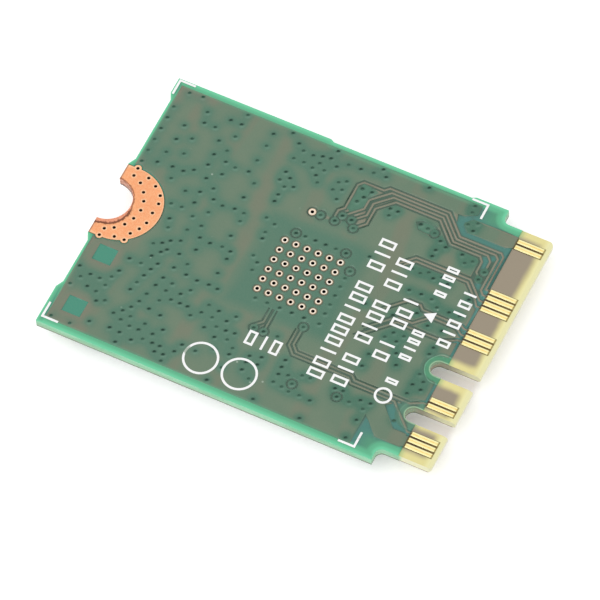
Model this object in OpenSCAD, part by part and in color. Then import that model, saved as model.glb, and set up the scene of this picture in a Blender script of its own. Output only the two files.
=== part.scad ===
// Laptop wifi card, lying on its shield with the bare side up.
// X runs towards the contact tongue, Y towards the highest pin, Z up out of the bare side.

/* [Board] */
// Length from the notch end to the tip of the tongue
card_length = 30; // [29:0.5:33]
// Width of the body
card_width = 22; // [21.6:0.2:24]
// Thickness of the board with the copper and mask of both sides
board_thickness = 0.8; // [0.7:0.02:1]
// Thickness of the outer copper
copper_thickness = 0.035; // [0.02:0.005:0.05]
// Thickness of the solder mask over copper
mask_thickness = 0.025; // [0.02:0.005:0.04]
// How far the mask sinks where no copper lies under it
mask_sink = 0.018; // [0.006:0.002:0.018]
// Distance of the outer copper from the board's edges
copper_inset = 0.47; // [0.4:0.01:0.6]
// Depth of the breakaway recesses in the notch end
end_recess = 0.28; // [0.1:0.02:0.35]
// Depth of the breakaway recess in the long side
side_recess = 0.15; // [0.1:0.01:0.3]

/* [Tongue] */
// Length of the tongue from the shoulders to the tip
tongue_length = 4; // [3.8:0.05:4.2]
// Width of the tongue
tongue_width = 19.85; // [19.6:0.05:20.1]
// Radius in the corners between the tongue and the shoulders
shoulder_radius = 0.5; // [0.3:0.05:0.6]
// Radius of the tongue's outer corners
tip_radius = 0.25; // [0.1:0.05:0.5]
// Length of the bevel along the tip
tip_bevel = 0.25; // [0.1:0.05:0.27]
// Length of bare laminate between the mask and the tip
bare_length = 2.45; // [2.4:0.05:2.8]

/* [Keys] */
// Width of a key slot
key_width = 1.2; // [1:0.05:1.3]
// Depth of a key slot from the tip
key_depth = 3.5; // [3.3:0.05:3.7]

/* [Contacts] */
// Distance between neighbouring contacts of one side
contact_pitch = 0.5; // [0.5:0.005:0.52]
// Width of a contact
contact_width = 0.35; // [0.28:0.01:0.4]
// Length of a contact
contact_length = 2.07; // [1.8:0.01:2.1]
// Distance from the tip to the contacts
contact_setback = 0.28; // [0.28:0.01:0.35]
// Thickness of a contact's copper and gold
contact_thickness = 0.045; // [0.04:0.005:0.06]

/* [Screw notch] */
// Radius of the half-round screw notch
notch_radius = 1.75; // [1.6:0.05:2]
// Radius of the bare copper pad round the notch
pad_radius = 3.05; // [2.9:0.05:3.2]
// Distance of the pad circle's centre from the notch end
pad_offset = 1; // [0.8:0.05:1.1]
// Thickness of the copper on the notch wall and in plated holes
plating = 0.025; // [0.015:0.005:0.04]
// Radius of the open holes in the pad
pad_hole_radius = 0.125; // [0.1:0.005:0.13]
// Radius of the copper round a hole that stands on the pad's edge
pad_ring_radius = 0.27; // [0.24:0.01:0.3]

/* [Via holes] */
// Distance between the open holes under the radio chip
grid_pitch = 0.868; // [0.8:0.004:0.9]
// Open holes in each row under the radio chip
grid_count = 6; // [4:1:6]
// Radius of an open hole under the radio chip
grid_hole_radius = 0.12; // [0.1:0.01:0.13]
// Radius of the copper ring round an open hole
grid_ring_radius = 0.22; // [0.2:0.01:0.25]
// Radius of the probe pad
probe_radius = 0.28; // [0.24:0.01:0.35]
// Gap between a bare pad and the mask round it
mask_opening = 0.05; // [0.03:0.01:0.08]
// Radius of a resin-filled via hole
via_radius = 0.12; // [0.08:0.01:0.14]
// Depth of the dimple over a resin-filled via hole
via_dimple = 0.015; // [0.005:0.005:0.03]
// Radius of the copper ring round a via that stands in a clearing
ring_radius = 0.3; // [0.26:0.01:0.32]

/* [Tracks] */
// Width of a signal track
track_width = 0.15; // [0.1:0.01:0.16]
// Clear gap beside a signal track
track_gap = 0.125; // [0.1:0.005:0.15]
// Distance between the tracks of a bundle
bundle_pitch = 0.28; // [0.28:0.01:0.32]

/* [Print] */
// Width of the printed lines
print_stroke = 0.17; // [0.12:0.01:0.22]
// Thickness of the print
print_thickness = 0.015; // [0.01:0.005:0.03]
// Length of a corner mark's arms
corner_arm = 1.32; // [1:0.02:1.5]
// Outer radius of the two printed rings
print_ring_radius = 1.3; // [1.1:0.05:1.35]
// Outer radius of the small printed ring
small_ring_radius = 0.65; // [0.5:0.05:0.8]

/* [Shield] */
// Height of the shield over the board
shield_height = 1.5; // [1.4:0.05:1.8]
// Sheet thickness of the lid
lid_sheet = 0.12; // [0.1:0.01:0.15]
// Sheet thickness of the frame
frame_sheet = 0.15; // [0.12:0.01:0.2]
// Gap between the lid's skirt and the frame
lid_gap = 0.03; // [0.02:0.01:0.05]
// Height of the lid's skirt
skirt_height = 0.8; // [0.6:0.05:1]
// Corner radius of the shield
shield_radius = 0.5; // [0.3:0.05:0.8]
// Width of the frame's flange under the lid
flange_width = 0.7; // [0.5:0.05:1]
// Distance of the shield from the long sides
shield_side_inset = 0.85; // [0.8:0.05:1.2]
// Distance of the shield from the shoulders
shield_shoulder_inset = 1.6; // [1.5:0.05:2]
// Distance of the shield's wide part from the notch end
shield_end_inset = 0.7; // [0.6:0.05:1]
// Distance of the shield's narrow part from the notch end, clear of the pad and the sockets
shield_step_inset = 4.4; // [4.3:0.05:4.8]
// Height of the cut-outs between the frame's solder feet
foot_height = 0.2; // [0.1:0.05:0.3]
// Width of a cut-out between the frame's solder feet
foot_gap = 0.9; // [0.6:0.1:1.4]
// Distance between the frame's solder feet
foot_pitch = 2.4; // [2:0.1:3]
// Width of the frame's two cross bars
bar_width = 1.2; // [0.8:0.1:1.6]
// Width of the slits in the lid's skirt
slit_width = 0.3; // [0.2:0.05:0.4]
// Distance of a slit from the corner of the skirt
slit_setback = 1.2; // [1:0.1:2]
// Radius of the snap dimples in the lid's skirt
dimple_radius = 0.22; // [0.15:0.01:0.25]

/* [Components] */
// Side of the radio chip
radio_side = 7; // [6:0.1:7.4]
// Height of the radio chip
radio_height = 0.85; // [0.7:0.05:0.9]
// Distance between the radio chip's contacts
radio_pitch = 0.4; // [0.4:0.01:0.5]
// Height of the solder under chips and passives
solder_height = 0.04; // [0.03:0.005:0.06]
// Outer radius of an antenna socket's shell
socket_radius = 0.75; // [0.7:0.01:0.8]
// Height of an antenna socket
socket_height = 0.6; // [0.5:0.02:0.7]
// Distance between the antenna sockets
socket_pitch = 4.6; // [4:0.1:5]

/* [Hidden] */
$fn = 48;

end_x = -card_length / 2;
tip_x = card_length / 2;
shoulder_x = tip_x - tongue_length;
side_y = card_width / 2;
mask_edge = tip_x - bare_length;
contact_start = tip_x - contact_setback - contact_length;
film = copper_thickness + mask_thickness;
front_face = shield_height;
back_face = front_face + board_thickness;
core_low = front_face + film;
core_high = back_face - film;
// Reach of a cutting shape past the face that it cuts
over = 0.5;

// Pin numbers run from 1 to 75; even pins are on the bare side, and the tongue's centre is at pin 38.
centre_pin = 38;
function pin_y(pin) = (pin - centre_pin) * contact_pitch / 2;
back_pins = [2, 4, 6, 16, 18, 38, 40, 42, 50, 52, 54, 56, 72, 74];
front_pins = concat([1, 3, 5, 7], [17, 19, 21, 23], [for (pin = [33:2:75]) pin]);
key_ys = [pin_y(11.5), pin_y(27.5)];
key_end_x = tip_x - key_depth + key_width / 2;

// Outline of the board

module shoulder_fillet(side) {
    translate([shoulder_x, side * tongue_width / 2]) difference() {
        translate([-over, side > 0 ? -over : -shoulder_radius])
            square([shoulder_radius + over, shoulder_radius + over]);
        translate([shoulder_radius, side * shoulder_radius]) circle(shoulder_radius);
    }
}

module tongue_outline() {
    inner = tongue_width / 2 - tip_radius;
    translate([shoulder_x - 1, -inner]) square([tongue_length + 1, 2 * inner]);
    translate([shoulder_x - 1, -tongue_width / 2]) square([tongue_length + 1 - tip_radius, tongue_width]);
    for (side = [-1, 1]) {
        translate([tip_x - tip_radius, side * inner]) circle(tip_radius);
        shoulder_fillet(side);
    }
}

module key_slots(margin) {
    for (y = key_ys) {
        translate([key_end_x, y]) circle(key_width / 2 + margin);
        translate([key_end_x, y - key_width / 2 - margin]) square([key_depth, key_width + 2 * margin]);
    }
}

// A recess with sloping ends, cut into the edge that lies along X below it
module edge_recess(length, depth) {
    slope = 2 * depth;
    polygon([[-slope, 0], [0, -depth], [length, -depth], [length + slope, 0],
        [length + slope, over], [-slope, over]]);
}

// Start and length of each recess along its edge
end_recess_spans = [[3.7, 5.4], [-7.4, 3.7]];
side_recess_span = [shoulder_x - 13.6, 10.8];

module recesses() {
    for (span = end_recess_spans) translate([end_x, span[0]]) rotate(90) edge_recess(span[1], end_recess);
    translate([side_recess_span[0], side_y]) edge_recess(side_recess_span[1], side_recess);
}

module board_outline() {
    difference() {
        union() {
            translate([end_x, -side_y]) square([card_length - tongue_length, card_width]);
            tongue_outline();
        }
        translate([end_x, 0]) circle(notch_radius);
        key_slots(0);
        recesses();
    }
}

// Screw pad

pad_centre = [end_x + pad_offset, 0];
// Three of the pad's holes stand at its edge and bulge it. A spot is [angle, distance inside the edge].
pad_edge_holes = [for (spot = [[94, 0], [-58.4, 0], [-93.4, 0.08]])
    pad_centre + (pad_radius - spot[1]) * [cos(spot[0]), sin(spot[0])]];

module pad_outline(grow) {
    difference() {
        intersection() {
            union() {
                translate(pad_centre) circle(pad_radius + grow);
                translate([end_x, -pad_radius - grow]) square([pad_offset, 2 * (pad_radius + grow)]);
                holes(pad_edge_holes, pad_ring_radius + grow);
            }
            translate([end_x, -side_y]) square([card_length, card_width]);
        }
        translate([end_x, 0]) circle(notch_radius - grow);
    }
}

// Places of the pad's open holes, from the notch's centre
pad_hole_places = [
    [0.8, 2.4], [1.85, 2.65], [1.5, 2.05], [2.6, 2.25], [2.05, 1.45], [3.25, 1.7], [2.4, 0.8],
    [3.45, 1.05], [2.55, 0.05], [3.4, 0.2], [2.4, -0.75], [3.4, -0.7], [2.05, -1.45], [3.15, -1.35],
    [1.5, -2], [2.75, -1.95], [0.9, -2.35], [1.85, -2.65]
];
pad_holes = concat(pad_edge_holes, [for (p = pad_hole_places)
    if (norm(p) > notch_radius + 2 * pad_hole_radius
        && norm(p - [pad_offset, 0]) < pad_radius - pad_hole_radius) p + [end_x, 0]]);

// Grid of open holes under the radio chip

grid_first = -(grid_count - 1) / 2 * grid_pitch;
grid_holes = [for (i = [0:grid_count - 1], j = [0:grid_count - 1])
    [grid_first + i * grid_pitch, grid_first + j * grid_pitch]];
grid_half = -grid_first + grid_pitch / 2;
probe_place = [-1.45, 5.05];

// Signal tracks and their vias. A point is [distance inwards from the mask's edge, y].

function route(points) = [for (p = points) [mask_edge - p[0], p[1]]];
function to_pin(pin) = [[mask_edge - 0.25, pin_y(pin)], [contact_start, pin_y(pin)]];

// Four tracks run side by side from vias beside the probe pad round to the contacts.
bundle_y = 9.08;
function bundle_line(i) = let (d = i * bundle_pitch, turn = 5.2 + 0.12 * i)
    [[turn, bundle_y - d], [turn - 1.48, bundle_y - 1.48 - d]];
bundle_starts = [
    [[12.25, 5.05], [12.4, 5.4], [12.4, 5.95], [12.05, 6.3], [12.05, 8.4], [11.75, 8.75], [10.2, 8.75],
        [9.87, 9.08]],
    [[11.93, 5.65], [10.8, 6.8], [10.8, 7.6], [10.8 - 1.2, 8.8]],
    [[11.2, 5.6], [10.4, 6.4], [10.4, 7.45], [10.4 - 1.07, 8.52]],
    [[10.8, 5.05], [10.1, 5.75], [10.1, 7.15], [10.1 - 1.09, 8.24]]
];
bundle_ends = [
    [[0.5, 7.6], [0.25, 7.35], [0.25, 4.75]],
    [[0.8, 7.32], [0.53, 7.05], [0.53, 4.3]],
    [[1.3, 7.04], [0.93, 6.65], [0.93, 5.75]],
    [[1.75, 6.76], [1.45, 6.4], [1.45, 5.5], [1.05, 5.05]]
];
bundle_tracks = [for (i = [0:3])
    concat(route(concat(bundle_starts[i], bundle_line(i), bundle_ends[i])),
        i == 0 ? to_pin(56) : i == 1 ? to_pin(54) : [])];

single_tracks = [
    concat(route([[6.75, 3.75], [6.3, 4.2], [5.75, 4.78], [1.55, 4.78], [0.5, 3.73]]), to_pin(52)),
    concat(route([[6.3, 3.9], [5.6, 4.5], [1.65, 4.5], [0.55, 3.4]]), to_pin(50)),
    concat(route([[6.1, 0.05], [4.95, 1.2], [4.65, 1.45], [3.8, 1.45], [3.5, 1.15], [0.5, 1.15]]), to_pin(42)),
    concat(route([[6.65, -1.9], [4.85, -0.1], [3.7, -0.1], [2.75, 0.85], [0.7, 0.85]]), to_pin(40)),
    concat(route([[6.95, -2.75], [4.7, -0.5], [1.3, -0.5], [0.6, -0.2]]), to_pin(38)),
    concat(route([[10.4, -3.6], [10.4, -5.15], [9.95, -5.6], [5.65, -5.6], [5.3, -5.92], [1.05, -5.92]]),
        to_pin(16)),
    concat(route([[10.68, -3.9], [10.68, -5.3], [10.1, -5.88], [5.8, -5.88], [5.45, -6.22], [2.1, -6.22]]),
        to_pin(6)),
    [[-0.55, -3.2], [-0.55, -4.4], [-0.95, -4.8], [-0.95, -5.1]],
    [[-0.2, -3.2], [-0.2, -5.1]]
];
tracks = concat(bundle_tracks, single_tracks);

// Vias with a copper ring of their own in a clearing
ringed_vias = concat(
    route([[12.25, 5.05], [11.93, 5.65], [11.2, 5.6], [10.8, 5.05], [0.93, 5.7], [1.05, 5], [5.45, 7.1],
        [10.35, 3], [9.45, 1.8], [10.4, -3.6], [9.1, -8], [5.85, -7.6]]),
    [[-0.8, 5.05], [-1.7, 3], [-0.95, -5.1], [-0.2, -5.1]]);

// The mitred outline of a track, worked out point by point along its route
function unit(v) = v / norm(v);
function turned(v) = [-v[1], v[0]];
function mitre(points, i, half) =
    let (last = len(points) - 1,
        before = turned(unit(points[max(i, 1)] - points[max(i, 1) - 1])),
        after = turned(unit(points[min(i, last - 1) + 1] - points[min(i, last - 1)])),
        middle = unit(before + after))
    middle * half / (middle * before);
module track(points, width) {
    last = len(points) - 1;
    polygon(concat([for (i = [0:last]) points[i] + mitre(points, i, width / 2)],
        [for (i = [last:-1:0]) points[i] - mitre(points, i, width / 2)]));
}

// Resin-filled vias. The long rows are evenly spaced, and the rest stand where the layout needs them.

shield_via_xs = [for (i = [0:6]) mask_edge - 3.85 - 3.57 * i];
shield_vias = concat(
    [for (x = shield_via_xs) [x, side_y - 0.7]],
    [for (x = shield_via_xs) [x - 0.02, -side_y + 0.78]],
    [for (i = [0:5]) [end_x + 0.75, 8.7 - i]],
    [[end_x + 0.8, 0.78 - side_y], [end_x + 0.75, -5.8], [end_x + 0.8, -7.35], [end_x + 1.25, side_y - 0.8]]);
chip_ring = grid_half + 0.42;
chip_ring_vias = concat(
    [for (i = [-1:2]) [chip_ring, i * 0.8 - 0.4 - 0.8], [chip_ring, 1.15], [chip_ring, -2.9]],
    [for (i = [0:3]) [-1 + 0.8 * i, chip_ring]],
    [for (i = [0:5]) [-1.95 + 0.95 * i, -chip_ring + 0.1]]);
loose_vias = [
    [-11.85, 9.3], [-10.05, 9.4], [-9.2, 9.4], [-11.65, 8.4], [-10.8, 8.4], [-9.15, 8.3], [-12.85, 7.6],
    [-10.05, 7.5], [-9.15, 7], [-12.85, 6.35], [-11.85, 6.85], [-9.85, 6.35], [-8.8, 6.15], [-8, 6],
    [-13, 5.1], [-11.8, 5.5], [-9.85, 5.4], [-8.6, 5.1], [-13.2, 4.1], [-12.05, 4.2], [-11.2, 4.2],
    [-10.55, 4.6], [-9.45, 4.35], [-8.6, 3.8], [-6.8, 9.65], [-4.8, 9.7], [-4.25, 9.3], [-3.45, 9.25],
    [-2.8, 9.45], [-2.2, 9.55], [-0.85, 9.6], [0.1, 9.65], [-1.55, 9.1], [-6.8, 8.55], [-4.6, 8.45],
    [-3.8, 8.45], [-2.75, 8.85], [-3.05, 8.3], [-2.2, 8.45], [-0.35, 8.3], [-2.55, 7.85], [-0.85, 8],
    [-0.35, 7.55], [-2.2, 7.35], [-0.95, 7.3], [-6.85, 7.2], [-4.6, 7.2], [-4.1, 6.85], [-0.35, 6.7],
    [-4.7, 6.45], [-3.55, 6.3], [-4.15, 6.05], [-7, 6.1], [-6.2, 5.4], [-4.25, 5.3], [-4.25, 4.7],
    [-6.35, 4.05], [-11.7, 3.3], [-9.35, 3.15], [-8.2, 3], [-10.3, 2.8], [-9.3, 2.2], [-8.05, 1.9],
    [-10.75, 1.45], [-9.95, 1.5], [-8.9, 1.15], [-8, 0.7], [-10.3, 0.3], [-8.75, 0], [-7.65, -0.2],
    [-10.05, -0.4], [-8.75, -1], [-9.4, -1.3], [-7.45, -1.2], [-9.85, -1.7], [-10.4, -2], [-9.3, -2.05],
    [-8.35, -2], [-9.6, -2.4], [-7.45, -2.5], [-10.05, -2.95], [-9.35, -3.35], [-8.2, -3.15], [-7.15, -3.3],
    [-7.4, 2.8], [-6.5, 2.95], [-5.75, 2.9], [-5.7, 2.2], [-4.15, 3.25], [-3.4, 3], [-3.7, 2.15],
    [-3.65, 1.6], [-5.75, 0.85], [-3.6, 0.1], [-5.9, -0.2], [-5.2, -0.3], [-6.8, -0.3], [-5.15, -0.95],
    [-3.15, -1], [-5.2, -2.25], [-6.25, -3.4], [-5.35, -3.35], [-4.65, -3.4], [-3.1, -0.3], [-11.35, -3.8],
    [-10.45, -3.8], [-9.6, -3.95], [-8.5, -4.2], [-7.7, -4.35], [-9.8, -4.6], [-11.55, -5], [-8.7, -4.95],
    [-7.85, -5.05], [-10, -5.3], [-11.8, -5.65], [-7.2, -5.55], [-13.25, -6.1], [-12.5, -6.1],
    [-10.15, -6], [-8.95, -5.85], [-7.9, -5.95], [-13.8, -6.55], [-11.9, -6.45], [-9.15, -6.6],
    [-8.25, -6.85], [-13, -7.05], [-12.25, -7.15], [-9.45, -7.25], [-11.35, -7.55], [-11.9, -7.85],
    [-9.85, -7.75], [-9.15, -7.95], [-7.95, -8.05], [-10.35, -8.2], [-9.65, -8.45], [-8.85, -8.65],
    [-8.15, -8.65], [-7.1, -8.55], [-10.05, -9.35], [-11.55, -9.5], [-9.25, -9.4], [-8.25, -9.6],
    [-7.55, -9.2], [-6.3, -4.3], [-6.8, -4.85], [-4.6, -4.8], [-3.75, -4.95], [-2.45, -4.85], [-6.5, -5.55],
    [-5.9, -5.55], [-4.8, -5.55], [-3.95, -5.6], [-2.9, -5.45], [-5.4, -6.1], [-3.35, -6.15], [-2.6, -6.15],
    [-1.95, -6.1], [-4.1, -6.55], [-2.2, -6.75], [-3.1, -6.95], [-7.3, -7], [-1.55, -7.2], [-0.2, -7.25],
    [0.6, -7], [-6.6, -7.95], [-2.65, -7.8], [-1.55, -7.75], [-0.2, -7.8], [0.6, -7.65], [-4.85, -8.45],
    [-0.2, -8.45], [-3.8, -8.5], [-6.8, -9.2], [-6.2, -9.2], [-5.1, -9.15], [-6.35, -9.75], [-5.7, -9.7],
    [-1.55, -8.9], [0.55, -8.9], [1.05, 9.75], [2, 9.8], [0.9, 8.25], [1.65, 8.25], [1.3, 7.65],
    [1, 7.15], [3.4, 7.6], [4, 7.6], [3.55, 7.05], [5.9, 7.35], [6.5, 7.25], [7.75, 6.7], [7.75, 5.9],
    [7.75, 5.35], [6.95, 3.85], [7.6, 3.75], [8.75, 9.75], [9.5, 9.1], [8.9, 8.75], [9.45, 8.4],
    [8.3, 6.4], [9.6, 6.35], [10.5, 6.15], [10.05, 5.8], [8.1, 4.05], [9.15, 4.1], [9.7, 3.75], [8.6, 3.75],
    [3.8, 3.45], [7.5, 2.2], [8.4, 2.25], [9.25, 2.2], [9.85, 1.75], [10.8, 1.75], [11.6, 1.8], [8.8, 0.75],
    [9.9, 0.15], [11, 0.2], [5.2, -0.1], [7.35, -0.1], [8, -1.35], [8.8, -1.3], [7.6, -1.9], [8.5, -1.9],
    [11.05, -1.25], [11, -1.85], [8.9, -2.75], [7.2, -3.6], [9.3, -3.6], [11.1, -3.55], [11.6, 3.25],
    [2.2, -6.5], [2.2, -7.1], [2.25, -7.7], [2.2, -8.4], [2.9, -7.5], [2.9, -8.5], [3.5, -8.65],
    [4.3, -8.6], [5.15, -8.65], [3.8, -7.1], [4.4, -7.05], [0.85, -5.05], [6.3, -7.05], [6.9, -7],
    [7.65, -7.6], [7.2, -4.65], [11.6, -4], [11, -4.5], [11.7, -4.65], [10.95, -5.3], [8.3, -7.15],
    [9.05, -7.1], [8.75, -7.7], [11.1, -7.6], [8.75, -8.65]
];

// Room kept between a via's centre and an edge, a pad or a slot
via_room = 0.32;
function off_keys(p) = p[0] < key_end_x - key_width / 2 - via_room
    || min([for (y = key_ys) abs(p[1] - y)]) > key_width / 2 + via_room;
function off_grid(p) = max(abs(p[0]), abs(p[1])) > grid_half + via_room - 0.1;
function off_pad(p) = norm(p - pad_centre) > pad_radius + via_room
    && alone(p, pad_edge_holes, pad_ring_radius + via_room);
function off_edges(p) = p[0] > end_x + end_recess + via_room && abs(p[1]) < side_y - side_recess - via_room
    && p[0] < mask_edge - via_room && (p[0] < shoulder_x - via_room || abs(p[1]) < tongue_width / 2 - via_room);
function alone(p, places, room) = min([for (q = places) norm(p - q)]) > room;
function kept(places) = [for (p = places) if (off_keys(p) && off_grid(p) && off_pad(p) && off_edges(p)) p];
rings_kept = [for (p = kept(ringed_vias)) if (alone(p, [probe_place], probe_radius + ring_radius)) p];
plain_kept = [for (p = kept(concat(shield_vias, chip_ring_vias, loose_vias)))
    if (alone(p, concat(rings_kept, [probe_place]), ring_radius + 2 * via_radius)) p];
// A via that falls on an earlier one is left out
vias = concat(rings_kept, [for (i = [0:len(plain_kept) - 1])
    if (i == 0 || alone(plain_kept[i], [for (k = [0:i - 1]) plain_kept[k]], 2.2 * via_radius)) plain_kept[i]]);

module holes(places, radius) {
    for (p = places) translate(p) circle(radius);
}

// Copper of the bare side

socket_x = end_x + 1.95;
socket_middle = -6.55;
socket_ys = [socket_middle - socket_pitch / 2, socket_middle + socket_pitch / 2];
// Room in the copper across from a socket, along and across the card
socket_clearing = [1.45, 1.35];

module supply_runs() {
    // to the two highest contacts
    translate([mask_edge, 0]) polygon([[-3.9, 8.6], [-3.9, 8.8], [-3.45, 9.27], [0, 9.27],
        [contact_start - mask_edge, 9.18], [contact_start - mask_edge, 8.32], [0, 8.3], [-0.5, 8.12],
        [-3.4, 8.12]]);
    // to the two lowest contacts
    translate([mask_edge, 0]) polygon([[-3.4, -6.9], [-2.5, -6.95], [-1.35, -8.3], [0, -8.32],
        [contact_start - mask_edge, -8.32], [contact_start - mask_edge, -9.18], [0, -9.18], [-2.1, -9.18],
        [-3.4, -8.05]]);
}

module copper_free() {
    translate([mask_edge, 0]) {
        polygon([[-4.65, 9.22], [-4.15, 9.25], [-3.35, 9.7], [-3.35, side_y], [over, side_y], [over, 7.75],
            [-3.6, 7.75], [-4.4, 8.5]]);
        polygon([[-1.65, 6.75], [-1.65, 4.95], [-1.5, 4.95], [-0.15, 3.6], [over, 3.6], [over, 8], [-1, 8]]);
        polygon([[-3.45, -side_y], [-3.45, -7.95], [-2.13, -9.3], [over, -9.3], [over, -side_y]]);
        polygon([[-2.6, -6.75], [-1.35, -6], [-1.1, -6], [0.1, -7.2], [0.1, -8.2], [-1.25, -8.2]]);
        polygon([[-7.05, 7.4], [-6.65, 7.65], [-5.55, 7.65], [-5.1, 7.3], [-5.25, 6.8], [-6.65, 6.85]]);
        polygon([[-11.9, 6.4], [-11.6, 6.1], [-11, 6.75], [-11, 8.6], [-11.7, 8.6], [-11.9, 8.4]]);
    }
    for (y = socket_ys) translate([socket_x, y]) square(socket_clearing, center = true);
    translate([mask_edge - 0.2, -side_y]) square([over, card_width]);
}

module clearings() {
    for (points = tracks) track(points, track_width + 2 * track_gap);
    holes(rings_kept, ring_radius + track_gap);
    holes(grid_holes, grid_ring_radius + track_gap);
    translate(probe_place) circle(probe_radius + track_gap);
}

module ground_outline() {
    difference() {
        intersection() {
            translate([end_x + copper_inset, copper_inset - side_y])
                square([card_length - copper_inset, card_width - 2 * copper_inset]);
            translate([end_x, -tongue_width / 2 - 1]) square([card_length - bare_length - 0.15, tongue_width + 2]);
        }
        pad_outline(2 * mask_opening);
        translate([end_x, 0]) circle(notch_radius + copper_inset);
        key_slots(copper_inset);
        copper_free();
        clearings();
    }
}

module ground_copper_back() {
    color("darkkhaki") translate([0, 0, core_high]) linear_extrude(copper_thickness) difference() {
        union() {
            ground_outline();
            difference() {
                supply_runs();
                for (points = single_tracks) track(points, track_width + 2 * track_gap);
            }
        }
        holes(vias, via_radius);
    }
}

module track_copper() {
    difference() {
        union() {
            for (points = tracks) track(points, track_width);
            holes(rings_kept, ring_radius);
        }
        holes(vias, via_radius);
    }
}

module signal_tracks_back() {
    color("olivedrab") translate([0, 0, core_high]) linear_extrude(copper_thickness) track_copper();
}

// Laminate and solder mask

module tip_bevels() {
    depth = board_thickness / 5;
    for (z = [core_low, core_high]) translate([tip_x, tongue_width / 2 + 1, z]) rotate([90, 0, 0])
        linear_extrude(tongue_width + 2)
            polygon([[-tip_bevel, 0], [0, z == core_low ? depth : -depth], [1, z == core_low ? depth : -depth],
                [1, z == core_low ? -1 : 1], [-tip_bevel, z == core_low ? -1 : 1]]);
}

module board() {
    color("khaki") difference() {
        translate([0, 0, core_low]) linear_extrude(core_high - core_low) difference() {
            board_outline();
            translate([end_x, 0]) circle(notch_radius + plating);
            holes(pad_holes, pad_hole_radius + plating);
            holes(grid_holes, grid_hole_radius + plating);
            translate(probe_place) circle(grid_hole_radius + plating);
        }
        tip_bevels();
    }
}

module mask_outline() {
    intersection() {
        board_outline();
        translate([end_x, -side_y]) square([card_length - bare_length, card_width]);
    }
}

module mask_back() {
    color("seagreen") translate([0, 0, core_high]) difference() {
        linear_extrude(film) difference() {
            mask_outline();
            pad_outline(mask_opening);
            holes(grid_holes, grid_ring_radius + mask_opening);
            translate(probe_place) circle(probe_radius + mask_opening);
            holes(vias, via_radius);
        }
        // room for the copper under the mask
        translate([0, 0, -over]) linear_extrude(copper_thickness + over) union() {
            ground_outline();
            supply_runs();
            track_copper();
        }
        // the mask lies lower beside the copper
        translate([0, 0, film - mask_sink]) linear_extrude(over) difference() {
            mask_outline();
            ground_outline();
            supply_runs();
            track_copper();
        }
    }
}

module mask_front() {
    color("seagreen") translate([0, 0, front_face]) linear_extrude(film) difference() {
        mask_outline();
        pad_outline(mask_opening);
        square(radio_side - 1, center = true);
    }
}

module via_plugs() {
    color("darkslategray") translate([0, 0, core_high]) linear_extrude(film - via_dimple)
        holes(vias, via_radius);
}

// Contacts, pads and plating

module contact_row(pins, z) {
    for (pin = pins) translate([contact_start, pin_y(pin) - contact_width / 2, z])
        cube([contact_length, contact_width, contact_thickness]);
}

module contacts_back() {
    color("gold") contact_row(back_pins, core_high);
}

module contacts_front() {
    color("gold") contact_row(front_pins, core_low - contact_thickness);
}

module screw_pad(z) {
    color("sandybrown") translate([0, 0, z]) linear_extrude(contact_thickness) difference() {
        pad_outline(0);
        holes(pad_holes, pad_hole_radius);
    }
}

module screw_pad_back() {
    screw_pad(core_high);
}

module screw_pad_front() {
    screw_pad(core_low - contact_thickness);
}

module barrels(places, radius) {
    translate([0, 0, core_low]) linear_extrude(core_high - core_low) difference() {
        holes(places, radius + plating);
        holes(places, radius);
    }
}

module screw_pad_vias() {
    color("peru") barrels(pad_holes, pad_hole_radius);
}

module notch_plating() {
    color("rosybrown") translate([0, 0, core_low]) linear_extrude(core_high - core_low) difference() {
        translate([end_x, 0]) circle(notch_radius + plating);
        translate([end_x, 0]) circle(notch_radius);
        translate([end_x - notch_radius - 1, -side_y]) square([notch_radius + 1, card_width]);
    }
}

module chip_vias() {
    color("peachpuff") {
        barrels(grid_holes, grid_hole_radius);
        translate([0, 0, core_high]) linear_extrude(contact_thickness) difference() {
            holes(grid_holes, grid_ring_radius);
            holes(grid_holes, grid_hole_radius);
        }
        translate([0, 0, core_low - contact_thickness]) linear_extrude(contact_thickness) difference() {
            square(2 * grid_half, center = true);
            holes(grid_holes, grid_hole_radius);
        }
    }
}

module probe_pad() {
    color("peachpuff") {
        barrels([probe_place], grid_hole_radius);
        translate([0, 0, core_high]) linear_extrude(contact_thickness) difference() {
            translate(probe_place) circle(probe_radius);
            translate(probe_place) circle(grid_hole_radius);
        }
    }
}

// Print of the bare side

module printed() {
    color("white") translate([0, 0, back_face]) linear_extrude(print_thickness) children();
}

module corner_mark() {
    square([corner_arm, print_stroke]);
    square([print_stroke, corner_arm]);
}

// Place and turn of each corner mark
corner_mark_places = [
    [[end_x + 0.1, side_y - 0.06], -90], [[end_x + 0.18, 0.4 - side_y], 0],
    [[shoulder_x - 1.4, side_y - 0.16], 180], [[shoulder_x - 1.4, 0.3 - side_y], 90]
];

module corner_marks() {
    printed() for (mark = corner_mark_places) translate(mark[0]) rotate(mark[1]) corner_mark();
}

module ring(radius) {
    difference() {
        circle(radius);
        circle(radius - print_stroke);
    }
}

print_ring_places = [[-3.2, 2.15 - side_y], [-0.2, 2.15 - side_y]];
small_ring_place = [mask_edge - 3, -6.15];

module print_rings() {
    printed() {
        for (place = print_ring_places) translate(place) ring(print_ring_radius);
        translate(small_ring_place) ring(small_ring_radius);
    }
}

triangle_place = [mask_edge - 3.3, 0.9];

module print_triangle() {
    printed() translate(triangle_place) polygon([[0, 0], [0.8, -0.45], [0.8, 0.45]]);
}

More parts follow.
